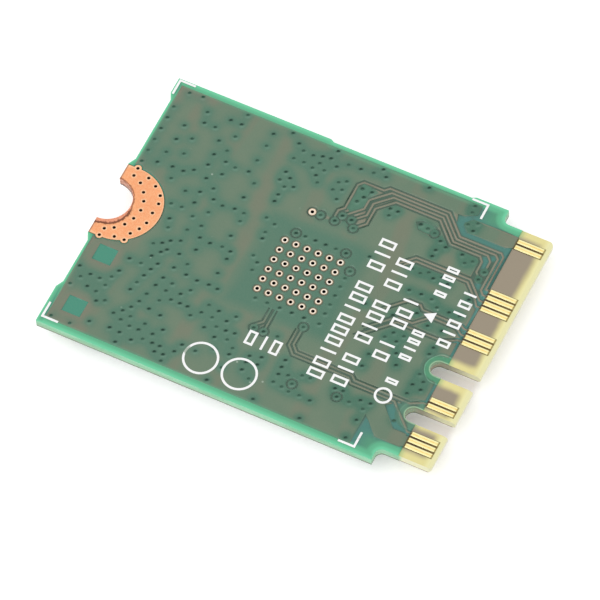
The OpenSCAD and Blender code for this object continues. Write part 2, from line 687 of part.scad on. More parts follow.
// A row of plain open boxes and bars along Y: the kinds are 0 for a bar, 1 for a box and 2 for a gap
module mark_row(kinds, height, pitch) {
    for (i = [0:len(kinds) - 1]) translate([0, i * pitch]) {
        if (kinds[i] == 0) translate([0, pitch / 2 - print_stroke]) square([height, print_stroke]);
        if (kinds[i] == 1) difference() {
            square([height, pitch - 1.6 * print_stroke]);
            translate([print_stroke, print_stroke])
                square([height - 2 * print_stroke, pitch - 3.6 * print_stroke]);
        }
    }
}

module print_marks() {
    printed() translate([mask_edge, 0]) {
        translate([-8.6, -6.85]) mark_row([1, 1, 0, 1, 1, 1, 0, 1, 1, 2, 1, 0, 1], 1.2, 0.95);
        translate([-6.85, -6.7]) mark_row([1, 0, 1, 2, 1, 0, 1, 1, 2, 1, 0, 1], 1.2, 0.94);
        translate([-5.1, -3.7]) mark_row([1, 0, 2, 1, 1, 0], 1.15, 0.94);
        translate([-3.4, -5.1]) mark_row([1, 2, 2, 1, 0, 1, 1, 2, 2, 2, 2, 1, 0, 1, 1], 0.9, 0.7);
        translate([-1.5, -0.95]) mark_row([1, 0, 1, 0, 1, 0], 0.95, 0.85);
    }
    printed() translate([-1.1, -5.35]) rotate(-90) mark_row([1, 0, 1], 1.15, 0.95);
}

// Shield frame and lid

shield_right = shoulder_x - shield_shoulder_inset;
shield_step_y = pad_radius + 0.75;

module rounded(x0, y0, x1, y1, radius) {
    translate([x0 + radius, y0]) square([x1 - x0 - 2 * radius, y1 - y0]);
    translate([x0, y0 + radius]) square([x1 - x0, y1 - y0 - 2 * radius]);
    for (x = [x0 + radius, x1 - radius], y = [y0 + radius, y1 - radius]) translate([x, y]) circle(radius);
}

module shield_outline(inset) {
    low = shield_side_inset - side_y + inset;
    high = side_y - shield_side_inset - inset;
    corner = max(shield_radius - inset, 0.05);
    rounded(end_x + shield_step_inset + inset, low, shield_right - inset, high, corner);
    rounded(end_x + shield_end_inset + inset, shield_step_y + inset, shield_right - inset, high, corner);
}

skirt_inner = lid_sheet + lid_gap;
bar_y = 1;

module shield_lid() {
    color("silver") difference() {
        linear_extrude(skirt_height) shield_outline(0);
        translate([0, 0, lid_sheet]) linear_extrude(skirt_height) shield_outline(lid_sheet);
        lid_slits();
        lid_dimples();
    }
}

shield_side = side_y - shield_side_inset;
slit_floor = lid_sheet + 0.05;

// Slits part the skirt at its corners so that its sides can spring
module lid_slits() {
    for (x = [end_x + shield_step_inset + slit_setback, shield_right - slit_setback], side = [-1, 1])
        if (side < 0 || x > 0) translate([x, side * shield_side - over, slit_floor])
            cube([slit_width, 2 * over, skirt_height]);
    for (y = [-1, 1] * (shield_side - slit_setback))
        translate([shield_right - over, y, slit_floor]) cube([2 * over, slit_width, skirt_height]);
}

// Half-deep dimples that hold the skirt on the frame
module lid_dimples() {
    depth = lid_sheet / 2;
    z = slit_floor + (skirt_height - slit_floor) / 2;
    for (x = [-6.5, -2.2, 2.2, 6.5], side = [-1, 1]) translate([x, side * (shield_side - depth), z])
        rotate([-90 * side, 0, 0]) cylinder(r = dimple_radius, h = over);
    for (y = [-6, -2, 2, 6]) translate([shield_right - depth, y, z])
        rotate([0, 90, 0]) cylinder(r = dimple_radius, h = over);
}

module shield_frame() {
    top = lid_sheet;
    color("gainsboro") difference() {
        translate([0, 0, top]) linear_extrude(front_face - top) shield_outline(skirt_inner);
        translate([0, 0, top + frame_sheet]) linear_extrude(front_face)
            shield_outline(skirt_inner + frame_sheet);
        translate([0, 0, -over]) linear_extrude(front_face) difference() {
            shield_outline(skirt_inner + flange_width);
            // two cross bars hold the frame's sides and give a place to lift it
            translate([-bar_width / 2, -side_y]) square([bar_width, card_width]);
            translate([end_x, bar_y - bar_width / 2]) square([card_length, bar_width]);
        }
        frame_feet();
    }
}

// Cut-outs along the frame's lower edge leave its solder feet standing
module frame_feet() {
    low = front_face - foot_height;
    for (x = [shield_right - foot_pitch:-foot_pitch:end_x + shield_step_inset + foot_pitch], side = [-1, 1])
        translate([x - foot_gap, side * (shield_side - skirt_inner) - over, low])
            cube([foot_gap, 2 * over, foot_height + over]);
    for (y = [foot_pitch - shield_side:foot_pitch:shield_side - foot_pitch])
        translate([shield_right - skirt_inner - over, y, low])
            cube([2 * over, foot_gap, foot_height + over]);
}

// Components. A component's place is its centre, and it stands down from the board's component side.

module chip(place, size) {
    translate([place[0] - size[0] / 2, place[1] - size[1] / 2, front_face - size[2]])
        cube([size[0], size[1], size[2] - solder_height]);
}

module solder(place, size) {
    translate([place[0] - size[0] / 2, place[1] - size[1] / 2, front_face - solder_height])
        cube([size[0], size[1], solder_height]);
}

module radio_chip() {
    color("dimgray") difference() {
        chip([0, 0], [radio_side, radio_side, radio_height]);
        translate([0.7 - radio_side / 2, radio_side / 2 - 0.7, front_face - radio_height - over])
            cylinder(r = 0.3, h = over + 0.05);
    }
}

module radio_chip_solder() {
    per_side = floor((radio_side - 1) / radio_pitch);
    color("lightgray") for (turn = [0:90:270]) rotate(turn) for (i = [0:per_side - 1])
        solder([(i - (per_side - 1) / 2) * radio_pitch, radio_side / 2 - 0.2], [0.2, 0.4]);
}

memory_place = [-5.6, 6.2];
module memory_chip() {
    color("dimgray") chip(memory_place, [2, 3, 0.6]);
}

module leads(place, half, count, pitch) {
    for (side = [-1, 1], i = [0:count - 1])
        solder(place + [side * half, (i - (count - 1) / 2) * pitch], [0.45, 0.25]);
}

module memory_chip_leads() {
    color("lightgray") leads(memory_place, 0.85, 4, 0.5);
}

regulator_place = [6.4, -6.6];
module regulator_chip() {
    color("dimgray") chip(regulator_place, [3, 3, 0.8]);
}

module regulator_chip_leads() {
    color("lightgray") leads(regulator_place, 1.35, 6, 0.5);
}

crystal_place = [5.9, 6.6];
module crystal_base() {
    color("beige") chip(crystal_place, [2.5, 2, 0.45]);
}

module crystal_lid() {
    color("silver") translate([crystal_place[0] - 1.05, crystal_place[1] - 0.8, front_face - 0.6])
        cube([2.1, 1.6, 0.15]);
}

inductor_places = [[2.4, -7], [2.4, -8.9]];
module inductors() {
    color("gray") for (p = inductor_places) chip(p, [1.2, 1.2, 0.95]);
}

module inductor_ends() {
    color("lightgray") for (p = inductor_places, side = [-1, 1]) ends(p, side, [1.6, 1.2, 0.95], 0.2);
}

// The metal end of a two-ended component: it stands against the body's end face and meets the board
module ends(place, side, size, thickness) {
    translate([place[0] + side * (size[0] - thickness) / 2 - thickness / 2, place[1] - size[1] / 2,
        front_face - size[2]]) cube([thickness, size[1], size[2]]);
}

module two_ended(places, size, thickness) {
    for (p = places) chip(p, [size[0] - 2 * thickness, size[1], size[2]]);
}

module two_ends(places, size, thickness) {
    for (p = places, side = [-1, 1]) ends(p, side, size, thickness);
}

module front_end_modules() {
    color("dimgray") for (y = [-4, -8]) chip([-6.3, y], [3, 3, 0.75]);
}

module filters() {
    color("tan") for (y = [-4, -8]) chip([-9.1, y], [0.8, 1.6, 0.5]);
}

capacitor_size = [1, 0.5, 0.5];
capacitor_places = concat(
    [for (i = [0:6]) [5.2, -3 + i]], [for (i = [0:4]) [-5.2, -1.5 + i]], [for (i = [0:3]) [-2.4 + 1.6 * i, 5]],
    [for (i = [0:2]) [-8.5, 5.2 + i * 1.2]], [for (i = [0:2]) [7.6, 1 + i * 1.1]]);
resistor_size = [0.6, 0.3, 0.26];
resistor_places = concat(
    [for (i = [0:5]) [-2.5 + i, -5]], [for (i = [0:5]) [-11.6 + i * 1.1, 8.6]],
    [for (i = [0:4]) [7.3, -3.2 + i * 0.8]],
    [for (i = [0:3]) [1.2 + i, 8.4]]);
coupling_places = [for (y = [8.75, 4.1, 3.3, 0.75, -5.3]) [shoulder_x - 0.4, y]];

module capacitors() {
    color("tan") two_ended(capacitor_places, capacitor_size, 0.2);
}

module capacitor_ends() {
    color("lightgray") two_ends(capacitor_places, capacitor_size, 0.2);
}

module resistors() {
    color("dimgray") two_ended(resistor_places, resistor_size, 0.12);
}

module resistor_ends() {
    color("lightgray") two_ends(resistor_places, resistor_size, 0.12);
}

module coupling_capacitors() {
    color("tan") two_ended(coupling_places, capacitor_size, 0.2);
}

module coupling_capacitor_ends() {
    color("lightgray") two_ends(coupling_places, capacitor_size, 0.2);
}

// Antenna sockets

socket_floor = 0.18;

module antenna_socket_bases() {
    color("white") for (y = socket_ys) translate([socket_x, y, front_face - socket_floor]) difference() {
        translate([-0.85, -0.85, 0]) cube([1.7, 1.7, socket_floor]);
        translate([0, 0, -over]) cylinder(r = 0.2, h = over + socket_floor / 2);
    }
}

module antenna_socket_shells() {
    color("gold") for (y = socket_ys) translate([socket_x, y, front_face - socket_height])
        rotate_extrude() polygon([[socket_radius - 0.15, 0], [socket_radius - 0.05, 0], [socket_radius, 0.08],
            [socket_radius, 0.16], [socket_radius - 0.05, 0.24], [socket_radius - 0.05, socket_height - socket_floor],
            [socket_radius - 0.15, socket_height - socket_floor]]);
}

module antenna_socket_pins() {
    color("gold") for (y = socket_ys) translate([socket_x, y, front_face - socket_height + 0.1])
        cylinder(r = 0.2, h = socket_height - 0.1 - socket_floor / 2);
}

board();
mask_back();
mask_front();
ground_copper_back();
signal_tracks_back();
via_plugs();
contacts_back();
contacts_front();
screw_pad_back();
screw_pad_front();
screw_pad_vias();
notch_plating();
chip_vias();
probe_pad();
corner_marks();
print_rings();
print_triangle();
print_marks();
shield_frame();
shield_lid();
radio_chip();
radio_chip_solder();
memory_chip();
memory_chip_leads();
regulator_chip();
regulator_chip_leads();
crystal_base();
crystal_lid();
inductors();
inductor_ends();
front_end_modules();
filters();
capacitors();
capacitor_ends();
resistors();
resistor_ends();
coupling_capacitors();
coupling_capacitor_ends();
antenna_socket_bases();
antenna_socket_shells();
antenna_socket_pins();
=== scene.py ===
import math
import bmesh
import bpy
from mathutils import Matrix, Vector
from mathutils.bvhtree import BVHTree
from mathutils.geometry import delaunay_2d_cdt
from mathutils.kdtree import KDTree


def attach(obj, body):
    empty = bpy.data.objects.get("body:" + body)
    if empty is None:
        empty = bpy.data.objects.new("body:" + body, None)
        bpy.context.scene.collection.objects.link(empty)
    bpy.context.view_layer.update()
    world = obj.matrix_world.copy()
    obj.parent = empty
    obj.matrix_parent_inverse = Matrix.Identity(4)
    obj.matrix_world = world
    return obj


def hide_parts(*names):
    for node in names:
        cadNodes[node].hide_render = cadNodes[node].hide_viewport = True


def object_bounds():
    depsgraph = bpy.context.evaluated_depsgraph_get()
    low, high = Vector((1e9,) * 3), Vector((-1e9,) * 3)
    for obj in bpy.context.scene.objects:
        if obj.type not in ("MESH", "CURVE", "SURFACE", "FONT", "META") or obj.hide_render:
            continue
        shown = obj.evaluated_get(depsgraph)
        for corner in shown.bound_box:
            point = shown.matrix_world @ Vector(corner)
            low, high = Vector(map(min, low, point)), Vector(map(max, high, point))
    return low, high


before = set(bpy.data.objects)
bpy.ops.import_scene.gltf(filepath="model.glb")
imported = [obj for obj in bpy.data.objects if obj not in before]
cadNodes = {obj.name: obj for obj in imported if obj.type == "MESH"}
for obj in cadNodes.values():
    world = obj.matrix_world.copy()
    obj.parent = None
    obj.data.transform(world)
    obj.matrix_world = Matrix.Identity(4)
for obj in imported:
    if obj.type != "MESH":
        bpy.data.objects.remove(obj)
cadLow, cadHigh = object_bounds()
mm = 0.001
bpy.ops.object.select_all(action="DESELECT")
print("frame loaded:", len(cadNodes), "nodes")

# Camera, placed round the middle of the bare side

cameraPlan = {
    "azimuth": 30.272, "elevation": 59.56, "roll": -4.44,  # degrees
    "distance": 416.92,
    "target": (0.963, -1.753, 2.3),
    "lens": 359.38,
}


def makeCamera(plan):
    azimuth, elevation, roll = (math.radians(plan[k]) for k in ("azimuth", "elevation", "roll"))
    back = Vector((math.sin(azimuth) * math.cos(elevation),
                   -math.cos(azimuth) * math.cos(elevation), math.sin(elevation)))
    right = Vector((math.cos(azimuth), math.sin(azimuth), 0))
    up = back.cross(right)
    side = right * math.cos(roll) + up * math.sin(roll)
    top = up * math.cos(roll) - right * math.sin(roll)
    place = (Vector(plan["target"]) + back * plan["distance"]) * mm
    bpy.ops.object.camera_add()
    camera = bpy.context.object
    camera.name = "photoCamera"
    camera.data.lens = plan["lens"]
    camera.data.clip_start = 0.01
    camera.data.clip_end = 20
    turn = Matrix((side, top, back)).transposed().to_4x4()
    camera.matrix_world = Matrix.Translation(place) @ turn
    bpy.context.scene.camera = camera


makeCamera(cameraPlan)
bpy.context.scene.view_settings.view_transform = "Standard"

# Small tools for building shaders


def paint(tone):
    # screen colour, 0 to 255, as the linear colour that a socket takes
    channels = [c / 255 for c in tone]
    return tuple(c / 12.92 if c <= 0.04045 else ((c + 0.055) / 1.055) ** 2.4 for c in channels) + (1,)


def feed(tree, socket, value):
    if isinstance(value, bpy.types.NodeSocket):
        tree.links.new(value, socket)
    else:
        socket.default_value = value


def put(tree, kind, settings=None, **inputs):
    node = tree.nodes.new("ShaderNode" + kind)
    for key, value in (settings or {}).items():
        setattr(node, key, value)
    for key, value in inputs.items():
        feed(tree, node.inputs[key], value)
    return node


def maths(tree, operation, first, second=0.0, third=0.0, clamp=False):
    node = put(tree, "Math", {"operation": operation, "use_clamp": clamp})
    feed(tree, node.inputs[0], first)
    feed(tree, node.inputs[1], second)
    feed(tree, node.inputs[2], third)
    return node.outputs[0]


def times(tree, first, second, clamp=False):
    return maths(tree, "MULTIPLY", first, second, clamp=clamp)


def plus(tree, first, second, clamp=False):
    return maths(tree, "ADD", first, second, clamp=clamp)


def less(tree, first, second, clamp=False):
    return maths(tree, "SUBTRACT", first, second, clamp=clamp)


def larger(tree, first, second):
    return maths(tree, "MAXIMUM", first, second)


def size(tree, value):
    return maths(tree, "ABSOLUTE", value)


def between(tree, value, low, high):
    # 0 at low and 1 at high with soft ends; low may be above high
    node = put(tree, "MapRange", {"interpolation_type": "SMOOTHSTEP"}, Value=value)
    if low < high:
        settings = (low, high, 0.0, 1.0)
    else:
        settings = (high, low, 1.0, 0.0)
    for index, number in enumerate(settings):
        node.inputs[index + 1].default_value = number
    return node.outputs[0]


def mixed(tree, factor, first, second, blend="MIX"):
    node = put(tree, "Mix", {"data_type": "RGBA", "blend_type": blend, "clamp_result": True})
    feed(tree, node.inputs[0], factor)
    feed(tree, node.inputs[6], first)
    feed(tree, node.inputs[7], second)
    return node.outputs[2]


def tinted(tree, colour, mask, tone):
    # the tone laid over the colour where the mask is
    return mixed(tree, mask, colour, paint(tone))


def noise(tree, vector, scale, detail=3.0, roughness=0.5):
    node = put(tree, "TexNoise", Vector=vector, Scale=scale, Detail=detail, Roughness=roughness)
    return node.outputs["Fac"]


def millimetres(tree, stretch=(1, 1, 1), shift=(0, 0, 0)):
    # object coordinates in millimetres
    coords = put(tree, "TexCoord")
    return put(tree, "Mapping", Vector=coords.outputs["Object"], Location=shift,
               Scale=tuple(1000 * s for s in stretch)).outputs[0]


def levelness(tree):
    # 1 on level faces, 0 on upright ones
    normal = put(tree, "NewGeometry").outputs["Normal"]
    return size(tree, put(tree, "SeparateXYZ", Vector=normal).outputs["Z"])


def stretched(tree, vector, scale):
    return put(tree, "Mapping", Vector=vector, Scale=scale).outputs[0]


def bump(tree, height, strength, distance):
    return put(tree, "Bump", Height=height, Strength=strength, Distance=distance * mm).outputs[0]


def newMaterial(name):
    material = bpy.data.materials.new(name)
    material.use_nodes = True
    tree = material.node_tree
    return material, tree, tree.nodes["Principled BSDF"]


def wear(node, material):
    node.data.materials.clear()
    node.data.materials.append(material)


def makeGroup(name, inputs, outputs, build):
    tree = bpy.data.node_groups.new(name, "ShaderNodeTree")
    for label, kind, value in inputs:
        socket = tree.interface.new_socket(name=label, in_out="INPUT", socket_type="NodeSocket" + kind)
        if value is not None:
            socket.default_value = value
    for label, kind in outputs:
        tree.interface.new_socket(name=label, in_out="OUTPUT", socket_type="NodeSocket" + kind)
    start = tree.nodes.new("NodeGroupInput")
    end = tree.nodes.new("NodeGroupOutput")
    build(tree, start.outputs, end.inputs)
    return tree


def useGroup(tree, group, **inputs):
    node = tree.nodes.new("ShaderNodeGroup")
    node.node_tree = group
    for key, value in inputs.items():
        feed(tree, node.inputs[key], value)
    return node.outputs


def buildGrain(tree, start, end):
    # small even grains, used on resin, moulding and matt metal
    small = noise(tree, start["Vector"], start["Scale"], 4, 0.6)
    tree.links.new(between(tree, small, 0.38, 0.62), end["Mask"])
    tree.links.new(small, end["Height"])


def buildScratches(tree, start, end):
    # hair-thin lines along X where two noises cross
    line = noise(tree, stretched(tree, start["Vector"], (0.25, 9, 9)), start["Scale"], 5, 0.65)
    where = noise(tree, start["Vector"], 0.5, 2)
    thin = between(tree, size(tree, less(tree, line, 0.5)), 0.03, 0.0)
    mask = times(tree, thin, between(tree, where, 0.45, 0.65))
    tree.links.new(mask, end["Mask"])


def buildMottle(tree, start, end):
    # broad soft patches
    broad = noise(tree, start["Vector"], start["Scale"], 2, 0.45)
    tree.links.new(between(tree, broad, 0.36, 0.64), end["Mask"])


def buildDust(tree, start, end):
    # scattered specks of dust and lint
    cells = put(tree, "TexVoronoi", Vector=start["Vector"], Scale=start["Scale"])
    near = between(tree, cells.outputs["Distance"], 0.14, 0.05)
    pick = put(tree, "SeparateColor", Color=cells.outputs["Color"]).outputs[0]
    tree.links.new(times(tree, near, between(tree, pick, 0.9, 0.96)), end["Mask"])


vectorAndScale = [("Vector", "Vector", None), ("Scale", "Float", 1.0)]
grainGroup = makeGroup("fineGrain", vectorAndScale, [("Mask", "Float"), ("Height", "Float")], buildGrain)
scratchGroup = makeGroup("hairScratches", vectorAndScale, [("Mask", "Float")], buildScratches)
mottleGroup = makeGroup("broadMottle", vectorAndScale, [("Mask", "Float")], buildMottle)
dustGroup = makeGroup("dustSpecks", vectorAndScale, [("Mask", "Float")], buildDust)
print("shader groups built")

# Solder mask of the bare side: its colour follows the copper, the vias and the edge below it

maskLook = {
    "copperGreen": (75, 118, 97), "copperTeal": (60, 110, 88), "copperBrown": (104, 125, 102),
    "brownBand": (117, 120, 99), "blush": (128, 120, 103), "track": (142, 132, 113),
    "grooveShade": (60, 90, 74), "openLaminate": (70, 119, 96), "openWindow": (59, 141, 117),
    "openShoulder": (62, 124, 114), "openCorner": (72, 146, 114),
    "openSlot": (72, 146, 108), "lowSlot": (84, 132, 108),
    "slotRimHighlight": (176, 214, 172), "slotHighlight": (134, 192, 160), "slotPaintedShade": (66, 112, 92),
    "edgeBand": (88, 181, 137), "edgeHighlight": (110, 213, 165), "ringHalo": (172, 156, 128),
    "viaShade": (30, 72, 56), "viaLit": (150, 188, 168), "litStrength": 0.2,
    "grainTone": (160, 170, 150), "dustTone": (190, 205, 190),
    "copperLevel": 2.2885,  # between the mask's two heights
    "edgeWidth": 0.47, "chipReach": 3.2, "chipFade": 1.5,
    # where one tone gives way to the next, along the card in mm
    "tealSide": (1.0, 7.5), "windowSide": (-11.0, -12.0), "openEnd": (-10.6, -11.0),
    "tongueSide": (11.9, 12.3), "shoulderSide": (7.0, 8.5), "cornerSide": (9.0, 10.4),
    "slotBend": (11.2, 12.0),
    # the same across the card
    "cornerReach": (8.8, 9.8), "betweenKeys": (-5.0, -4.2), "trackRise": (-2.5, 1.5),
}


slotPlan = {"keys": (-6.625, -2.625), "start": 12.1, "half": 0.6}


def slotGap(tree, parts, plan):
    # distance in the plane from the wall of the nearer key slot
    run = larger(tree, less(tree, plan["start"], parts["X"]), 0.0)
    nearest = 99.0
    for key in plan["keys"]:
        away = less(tree, parts["Y"], key)
        total = plus(tree, times(tree, run, run), times(tree, away, away))
        nearest = maths(tree, "MINIMUM", maths(tree, "SQRT", total), nearest)
    return less(tree, nearest, plan["half"])


def gapAttribute(tree, name):
    return put(tree, "Attribute", {"attribute_name": name}).outputs["Fac"]


def makeMaskMaterial(look):
    material, tree, shader = newMaterial("solderMask")
    spot = millimetres(tree)
    crowd = gapAttribute(tree, "viaCrowd")
    viaGap = gapAttribute(tree, "viaGap")
    edgeGap = gapAttribute(tree, "edgeGap")
    openWide = gapAttribute(tree, "openWide")
    parts = put(tree, "SeparateXYZ", Vector=spot).outputs
    mottle = useGroup(tree, mottleGroup, Vector=spot, Scale=0.35)["Mask"]
    fine = useGroup(tree, grainGroup, Vector=spot, Scale=14.0)
    # brown over open copper, green where vias crowd
    out = larger(tree, size(tree, parts["X"]), size(tree, parts["Y"]))
    overChip = between(tree, out, look["chipReach"] + look["chipFade"], look["chipReach"])
    green = plus(tree, times(tree, mottle, 0.22),
                 larger(tree, crowd, times(tree, overChip, 0.9)), clamp=True)
    greenTone = mixed(tree, between(tree, parts["X"], *look["tealSide"]), paint(look["copperGreen"]),
                      paint(look["copperTeal"]))
    copper = mixed(tree, green, paint(look["copperBrown"]), greenTone)
    bands = put(tree, "TexWave", {"bands_direction": "X"}, Vector=spot, Scale=0.09, Distortion=3.0,
                Detail=1.0).outputs["Fac"]
    bandMask = times(tree, between(tree, bands, 0.55, 0.95), less(tree, 0.65, green, clamp=True))
    copper = tinted(tree, copper, bandMask, look["brownBand"])
    # a brown blush round the two squares without copper
    atWindows = between(tree, parts["X"], *look["windowSide"])
    blush = times(tree, gapAttribute(tree, "openNear"), atWindows)
    copper = tinted(tree, copper, times(tree, blush, 0.75), look["blush"])
    # laminate below: teal where it is wide, painted shade in the narrow grooves
    wide = larger(tree, openWide, between(tree, parts["X"], *look["tongueSide"]))
    wide = larger(tree, wide, between(tree, parts["X"], *look["openEnd"]))
    openTone = mixed(tree, atWindows, paint(look["openLaminate"]), paint(look["openWindow"]))
    atShoulder = between(tree, parts["X"], *look["shoulderSide"])
    openTone = tinted(tree, openTone, atShoulder, look["openShoulder"])
    corner = times(tree, between(tree, parts["X"], *look["cornerSide"]),
                   between(tree, size(tree, parts["Y"]), *look["cornerReach"]))
    openTone = tinted(tree, openTone, corner, look["openCorner"])
    keyGap = slotGap(tree, parts, slotPlan)
    atUpperKey = between(tree, parts["Y"], *look["betweenKeys"])
    slotTone = mixed(tree, atUpperKey, paint(look["lowSlot"]), paint(look["openSlot"]))
    openTone = mixed(tree, between(tree, keyGap, 0.7, 0.4), openTone, slotTone)
    bare = mixed(tree, wide, paint(look["grooveShade"]), openTone)
    # painted glow: the bare laminate lightens near the cut edge, where light comes in
    outer = between(tree, edgeGap, look["edgeWidth"] + 0.3, look["edgeWidth"] - 0.12)
    bare = tinted(tree, bare, outer, look["edgeBand"])
    # tracks: copper under the mask, lightened by a painted highlight along their raised crests
    strength = plus(tree, times(tree, between(tree, parts["Y"], *look["trackRise"]), 0.35), 0.35)
    track = times(tree, gapAttribute(tree, "onTrack"),
                  times(tree, strength, between(tree, viaGap, 0.3, 0.5)))
    track = times(tree, track, less(tree, 1.0, overChip))
    copper = tinted(tree, copper, track, look["track"])
    overCopper = between(tree, parts["Z"], look["copperLevel"] - 0.001, look["copperLevel"] + 0.001)
    colour = mixed(tree, overCopper, bare, copper)
    halo = times(tree, between(tree, gapAttribute(tree, "ringGap"), 0.38, 0.27), 0.3)
    colour = tinted(tree, colour, halo, look["ringHalo"])
    # light leaking in from the cut edge
    glow = times(tree, between(tree, edgeGap, 0.7, 0.42), 0.3)
    colour = tinted(tree, colour, glow, look["edgeBand"])
    # painted highlight: a pale line along the cut edge
    rim = times(tree, between(tree, edgeGap, 0.36, 0.04), 0.85)
    colour = tinted(tree, colour, rim, look["edgeHighlight"])
    # painted highlight: a pale line at the rim of each key slot
    slotRimHighlight = times(tree, between(tree, keyGap, 0.13, 0.02), 0.7)
    colour = tinted(tree, colour, slotRimHighlight, look["slotRimHighlight"])
    reach = plus(tree, times(tree, between(tree, parts["X"], *look["slotBend"]), 0.17), 0.38)
    # a band of painted shade and a line of painted highlight round each key slot
    past = less(tree, keyGap, reach)
    shadeBand = times(tree, between(tree, past, 0.0, 0.06), between(tree, keyGap, 0.75, 0.65))
    colour = tinted(tree, colour, times(tree, shadeBand, 0.6), look["slotPaintedShade"])
    line = between(tree, size(tree, past), 0.07, 0.01)
    lineStrength = plus(tree, times(tree, atUpperKey, 0.33), 0.12)
    colour = tinted(tree, colour, times(tree, line, lineStrength), look["slotHighlight"])
    # each via: painted shade marks across the light, a faint painted lit side, and some vias fainter than
    # others
    uneven = between(tree, noise(tree, spot, 0.8, 1), 0.36, 0.62)
    uneven = plus(tree, times(tree, uneven, 0.6), 0.3)
    dark = times(tree, between(tree, viaGap, 0.27, 0.1), uneven, clamp=True)
    along = times(tree, gapAttribute(tree, "viaAlong"), 0.95)
    dark = times(tree, dark, less(tree, 1.0, along))
    colour = tinted(tree, colour, dark, look["viaShade"])
    shine = times(tree, between(tree, noise(tree, spot, 1.1, 1), 0.35, 0.6), look["litStrength"])
    shine = times(tree, shine, gapAttribute(tree, "viaLit"))
    colour = tinted(tree, colour, shine, look["viaLit"])
    grainShade = times(tree, fine["Mask"], 0.06)
    colour = tinted(tree, colour, grainShade, look["grainTone"])
    specks = useGroup(tree, dustGroup, Vector=spot, Scale=1.3)["Mask"]
    colour = tinted(tree, colour, times(tree, specks, 0.5), look["dustTone"])
    tree.links.new(colour, shader.inputs["Base Color"])
    rough = plus(tree, times(tree, mottle, 0.08), 0.3)
    tree.links.new(rough, shader.inputs["Roughness"])
    tree.links.new(bump(tree, fine["Height"], 0.25, 0.006), shader.inputs["Normal"])
    return material


litSide = Vector((0.504, -0.864, 0))  # the side of each via that catches the light
ringPlan = {"pitch": 0.868, "count": 6, "probe": (-1.45, 5.05)}


def ringCentres(plan):
    # open rings under the chip, and the probe pad, in mm
    first = -(plan["count"] - 1) / 2 * plan["pitch"]
    steps = [first + i * plan["pitch"] for i in range(plan["count"])]
    return [Vector((x, y, 0)) for x in steps for y in steps] + [Vector((*plan["probe"], 0))]


sheetPlan = {
    "cell": 0.17, "clear": 0.05, "haloRings": (0.19, 0.27, 0.36), "haloSides": 12,
    "dip": 0.006, "dipReach": 0.3, "crowdReach": 0.5,
    "bodyEnd": 8.0, "notchHalf": 1.9, "tongueStart": 12.6, "slotFree": 7.6,
    "lowLevel": 2.2885, "wideGap": 0.13, "wideReach": 0.3, "blushReach": 0.95,
    "endNarrowing": 1.9, "endReach": -14.6, "trackNear": 0.22, "trackFade": 0.08,
}


def mergedCopy(nodeName, pieceName):
    # a copy of a CAD node with its doubles merged
    source = cadNodes[nodeName]
    piece = bpy.data.objects.new(pieceName, source.data.copy())
    bpy.context.scene.collection.objects.link(piece)
    mesh = bmesh.new()
    mesh.from_mesh(piece.data)
    bmesh.ops.remove_doubles(mesh, verts=mesh.verts, dist=1e-7)
    mesh.to_mesh(piece.data)
    mesh.free()
    return piece


def islandCentres(nodeName):
    # middle of each loose solid of a node
    mesh = bmesh.new()
    mesh.from_mesh(cadNodes[nodeName].data)
    bmesh.ops.remove_doubles(mesh, verts=mesh.verts, dist=1e-7)
    left = set(mesh.verts)
    centres = []
    while left:
        group, queue = [], [left.pop()]
        while queue:
            vert = queue.pop()
            group.append(vert.co)
            for edge in vert.link_edges:
                other = edge.other_vert(vert)
                if other in left:
                    left.remove(other)
                    queue.append(other)
        low = Vector([min(c[k] for c in group) for k in range(3)])
        high = Vector([max(c[k] for c in group) for k in range(3)])
        centres.append((low + high) / 2)
    mesh.free()
    return centres


def treeOf(points):
    tree = KDTree(len(points))
    for index, point in enumerate(points):
        tree.insert(Vector((point[0], point[1], 0)), index)
    tree.balance()
    return tree


def alongEdges(ends, step):
    # points set closely along 2D edges
    points = []
    for first, second in ends:
        count = max(1, int((second - first).length / step))
        points += [first.lerp(second, i / count) for i in range(count + 1)]
    return points


def outlinePoints(plan):
    # points along the cut edge of the board's body, without the slots and the notch
    mesh = bmesh.new()
    mesh.from_mesh(cadNodes["board"].data)
    bmesh.ops.remove_doubles(mesh, verts=mesh.verts, dist=1e-7)
    foot = min(v.co.z for v in mesh.verts) + 1e-6
    rims = {e for e in mesh.edges if all(v.co.z < foot for v in e.verts)
            and sum(abs(f.normal.z) > 0.9 for f in e.link_faces) == 1}
    first = min((v for e in rims for v in e.verts), key=lambda v: v.co.x + v.co.y)
    queue, seen, ends = [first], {first}, []
    while queue:
        vert = queue.pop()
        for edge in vert.link_edges:
            other = edge.other_vert(vert)
            if edge in rims and other not in seen:
                seen.add(other)
                queue.append(other)
                ends.append([Vector((v.co.x / mm, v.co.y / mm, 0)) for v in (vert, other)])
    mesh.free()
    return [p for p in alongEdges(ends, 0.1) if (p.x < plan["bodyEnd"] and abs(p.y) > plan["notchHalf"])
            or (p.x < plan["tongueStart"] and abs(p.y) > plan["slotFree"])]


